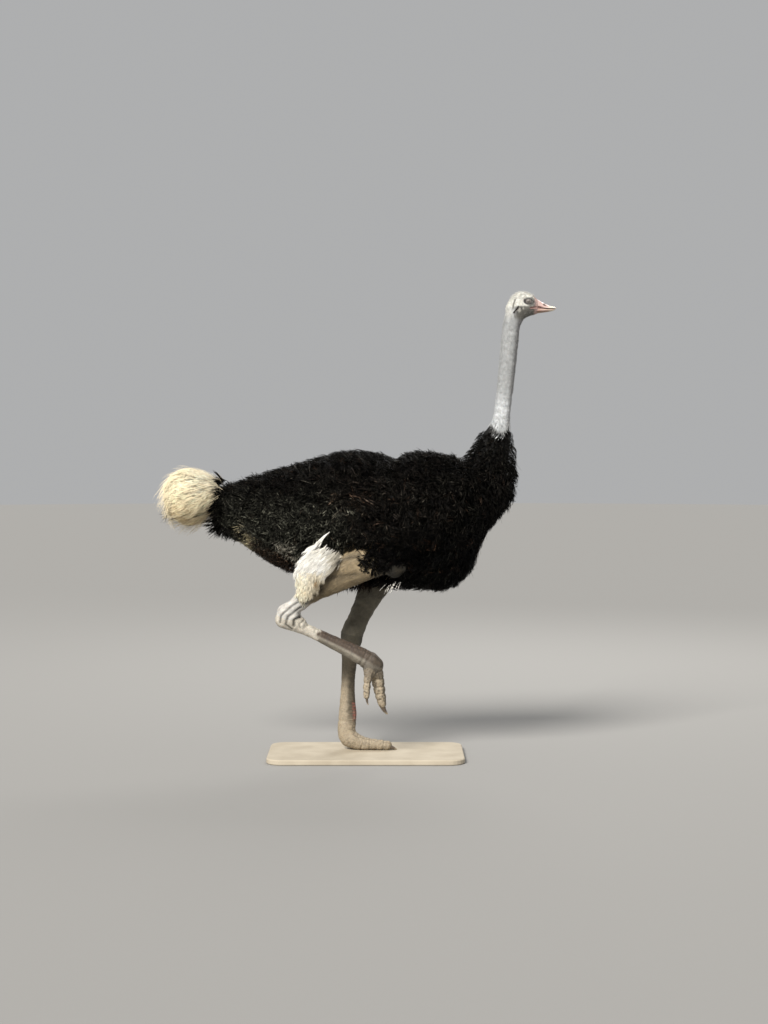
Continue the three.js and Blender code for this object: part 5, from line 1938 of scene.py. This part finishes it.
def base_paint():
    """Pale matt paint rolled on a board: a fine orange-peel texture and slight unevenness."""
    made, tree, shader = new_material("base_paint", Roughness=0.7)
    place = own_place(tree)
    ramp = add(tree, "ShaderNodeValToRGB", {0: noise(tree, place, 9.0, 4.0)})
    for stop, at, tone in zip(ramp.color_ramp.elements, (0.3, 0.7), (PAINT_LOW, PAINT_HIGH)):
        stop.position = at
        stop.color = (*tone, 1)
    tree.links.new(ramp.outputs[0], shader.inputs["Base Color"])
    relief(tree, shader, noise(tree, place, 350.0, 2.0), 0.25, 0.0006)
    return made


def plain_floor():
    """A wide disc of plain grey under the part."""
    made, _, shader = new_material("floor_paper", Roughness=0.9)
    shader.inputs["Base Color"].default_value = (*FLOOR_GREY, 1)
    bm = bmesh.new()
    bmesh.ops.create_circle(bm, cap_ends=True, segments=96, radius=30)
    mesh = bpy.data.meshes.new("floor")
    bm.to_mesh(mesh)
    bm.free()
    mesh.materials.append(made)
    new_object("floor", mesh)


def lamp(name, place, target, size, watts, colour):
    """A square soft light that faces its target."""
    light = bpy.data.lights.new(name, "AREA")
    light.shape = "SQUARE"
    light.size = size
    light.energy = watts
    light.color = colour
    obj = bpy.data.objects.new(name, light)
    bpy.context.scene.collection.objects.link(obj)
    obj.location = place
    obj.rotation_euler = (Vector(target) - Vector(place)).to_track_quat("-Z", "Y").to_euler()


def studio():
    """A bright sky, the key light from behind the camera, high on one side, and a rim light."""
    world = bpy.data.worlds.new("studio")
    bpy.context.scene.world = world
    world.use_nodes = True
    sky = world.node_tree.nodes["Background"]
    sky.inputs["Color"].default_value = (*SKY_WHITE, 1)
    sky.inputs["Strength"].default_value = 0.48
    light = bpy.data.lights.new("key", "SUN")
    light.energy = 4.9
    light.angle = math.radians(22)
    light.color = (1.0, 0.965, 0.91)
    key = bpy.data.objects.new("key", light)
    bpy.context.scene.collection.objects.link(key)
    key.rotation_euler = Vector((0.45, 0.83, -0.76)).to_track_quat("-Z", "Y").to_euler()
    lamp("rim", (1.5, 4.5, 4.5), (0, 0, 1.1), 2.5, 120, (1.0, 0.98, 0.95))
    bpy.context.scene.view_settings.view_transform = "Standard"


def camera():
    """The lens and place that show the part from its right side."""
    lens = bpy.data.cameras.new("camera")
    lens.lens = 68.85
    lens.sensor_width = 36
    obj = bpy.data.objects.new("camera", lens)
    place, target = Vector((0.083, -9.0, SOLE + 1.5)), Vector((0.083, 0, SOLE + 1.106))
    obj.location = place
    obj.rotation_euler = (target - place).to_track_quat("-Z", "Y").to_euler()
    bpy.context.scene.collection.objects.link(obj)
    bpy.context.scene.camera = obj


# ---- building


def finish_piece(piece, slot, *nodes):
    """Hangs a piece on the root and hides the nodes that it stands for. The slot is not used."""
    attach(piece, "root")
    if nodes:
        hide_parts(*nodes)


def build_skin():
    """The skin, with the body's outer form that its plumage fills."""
    hull = outer_form("hull", BODY_NODES)
    hull_tree = tree_of(hull)
    skin = whole_skin(hull)
    bpy.data.objects.remove(hull)
    hull = outer_form("hull", BODY_NODES + ["thigh_right", "thigh_left"])
    thinned(skin, hull_tree)
    shaped_skin(skin)
    coloured_skin(skin)
    shaded_smooth(skin.data)
    skin.data.materials.append(bare_skin())
    finish_piece(skin, "neck_skin", "trunk", "neck_base", "neck_lower", "neck_upper", "head",
                 *[f"{n}_{s}" for s in SIDES for n in ("wing", "thigh", "shank", "toe_inner", "toe_outer")])
    return skin, hull


def build_plumage(skin, hull):
    """The whole coat, over the skin: black, white and bristly."""
    hull_tree, skin_tree = tree_of(hull), tree_of(skin)
    unwrap = unwrap_of(skin)
    # painted glints: specks up to 2.6 times the black marking
    black = barbs("black_down_barbs", 0.42, 0.0, 0.06, 0.15, 2.6, 120.0)
    white = barbs("white_plume_barbs", 0.7, 0.15, 0.3, 0.94, 1.0)
    bristle = barbs("bristle_down", 0.6, 0.15, 0.3, 0.85, 1.1)
    tufts = Tufts()
    plumage(hull, hull_tree, skin_tree, tufts)
    rump_ruff(tufts)
    belly_bristles(tufts)
    rump_corner(tufts)
    belly_fringe(tufts)
    wisps(tufts, hull)
    for piece in coat_pieces("plumage", tufts, black, unwrap):
        finish_piece(piece, "black_plumage")
    tufts = Tufts()
    bush = merged_copy("tail")
    evened(with_modifier(bush, "REMESH", mode="VOXEL", voxel_size=BODY_VOXEL), 6)
    tail_plumage(tufts, bush, tree_of(bush))
    bpy.data.objects.remove(bush)
    for piece in coat_pieces("tail_plumes", tufts, white, unwrap, soft=True):
        finish_piece(piece, "white_plumage", "tail")
    for side in SIDES:
        tufts = Tufts()
        over = new_object("hull_copy", hull.data.copy())
        bush = joined("wing_bush", [merged_copy(f"wing_plumes_{side}"), over])
        evened(with_modifier(bush, "REMESH", mode="VOXEL", voxel_size=PLUME_VOXEL), 4)
        wing_plumage(tufts, side, tree_of(bush))
        bpy.data.objects.remove(bush)
        for piece in coat_pieces(f"wing_plume_fan_{side}", tufts, white, unwrap, soft=True):
            finish_piece(piece, "white_plumage", f"wing_plumes_{side}")
    tufts = Tufts()
    fuzz(tufts, skin, skin_tree)
    lashes(tufts)
    ear_fringe(tufts)
    thigh_down(tufts, skin, skin_tree)
    for piece in coat_pieces("neck_fuzz", tufts, bristle, unwrap):
        finish_piece(piece, "neck_skin")
    bpy.data.objects.remove(hull)


def build_hard_parts():
    """The bill, eyes, claws and base."""
    bill = horn("bill_keratin", 0.38)
    nails = horn("claw_keratin", 0.45)
    wet = wet_eye()
    rows = [(bill_half(node), bill, "bill_horn", node) for node in ("bill_upper", "bill_lower")]
    for side in SIDES:
        rows.append((eye_ball(side), wet, "eye", f"eye_{side}"))
        for node in (f"claw_inner_{side}", f"claw_outer_{side}"):
            rows.append((claw(node), nails, "claw_horn", node))
    for piece, material, slot, node in rows:
        piece.data.materials.append(material)
        finish_piece(piece, slot, node)
    paint = base_paint()
    for slot in NODES["stand_base"].material_slots:
        slot.material = paint


build_plumage(*build_skin())
build_hard_parts()
plain_floor()
studio()
camera()
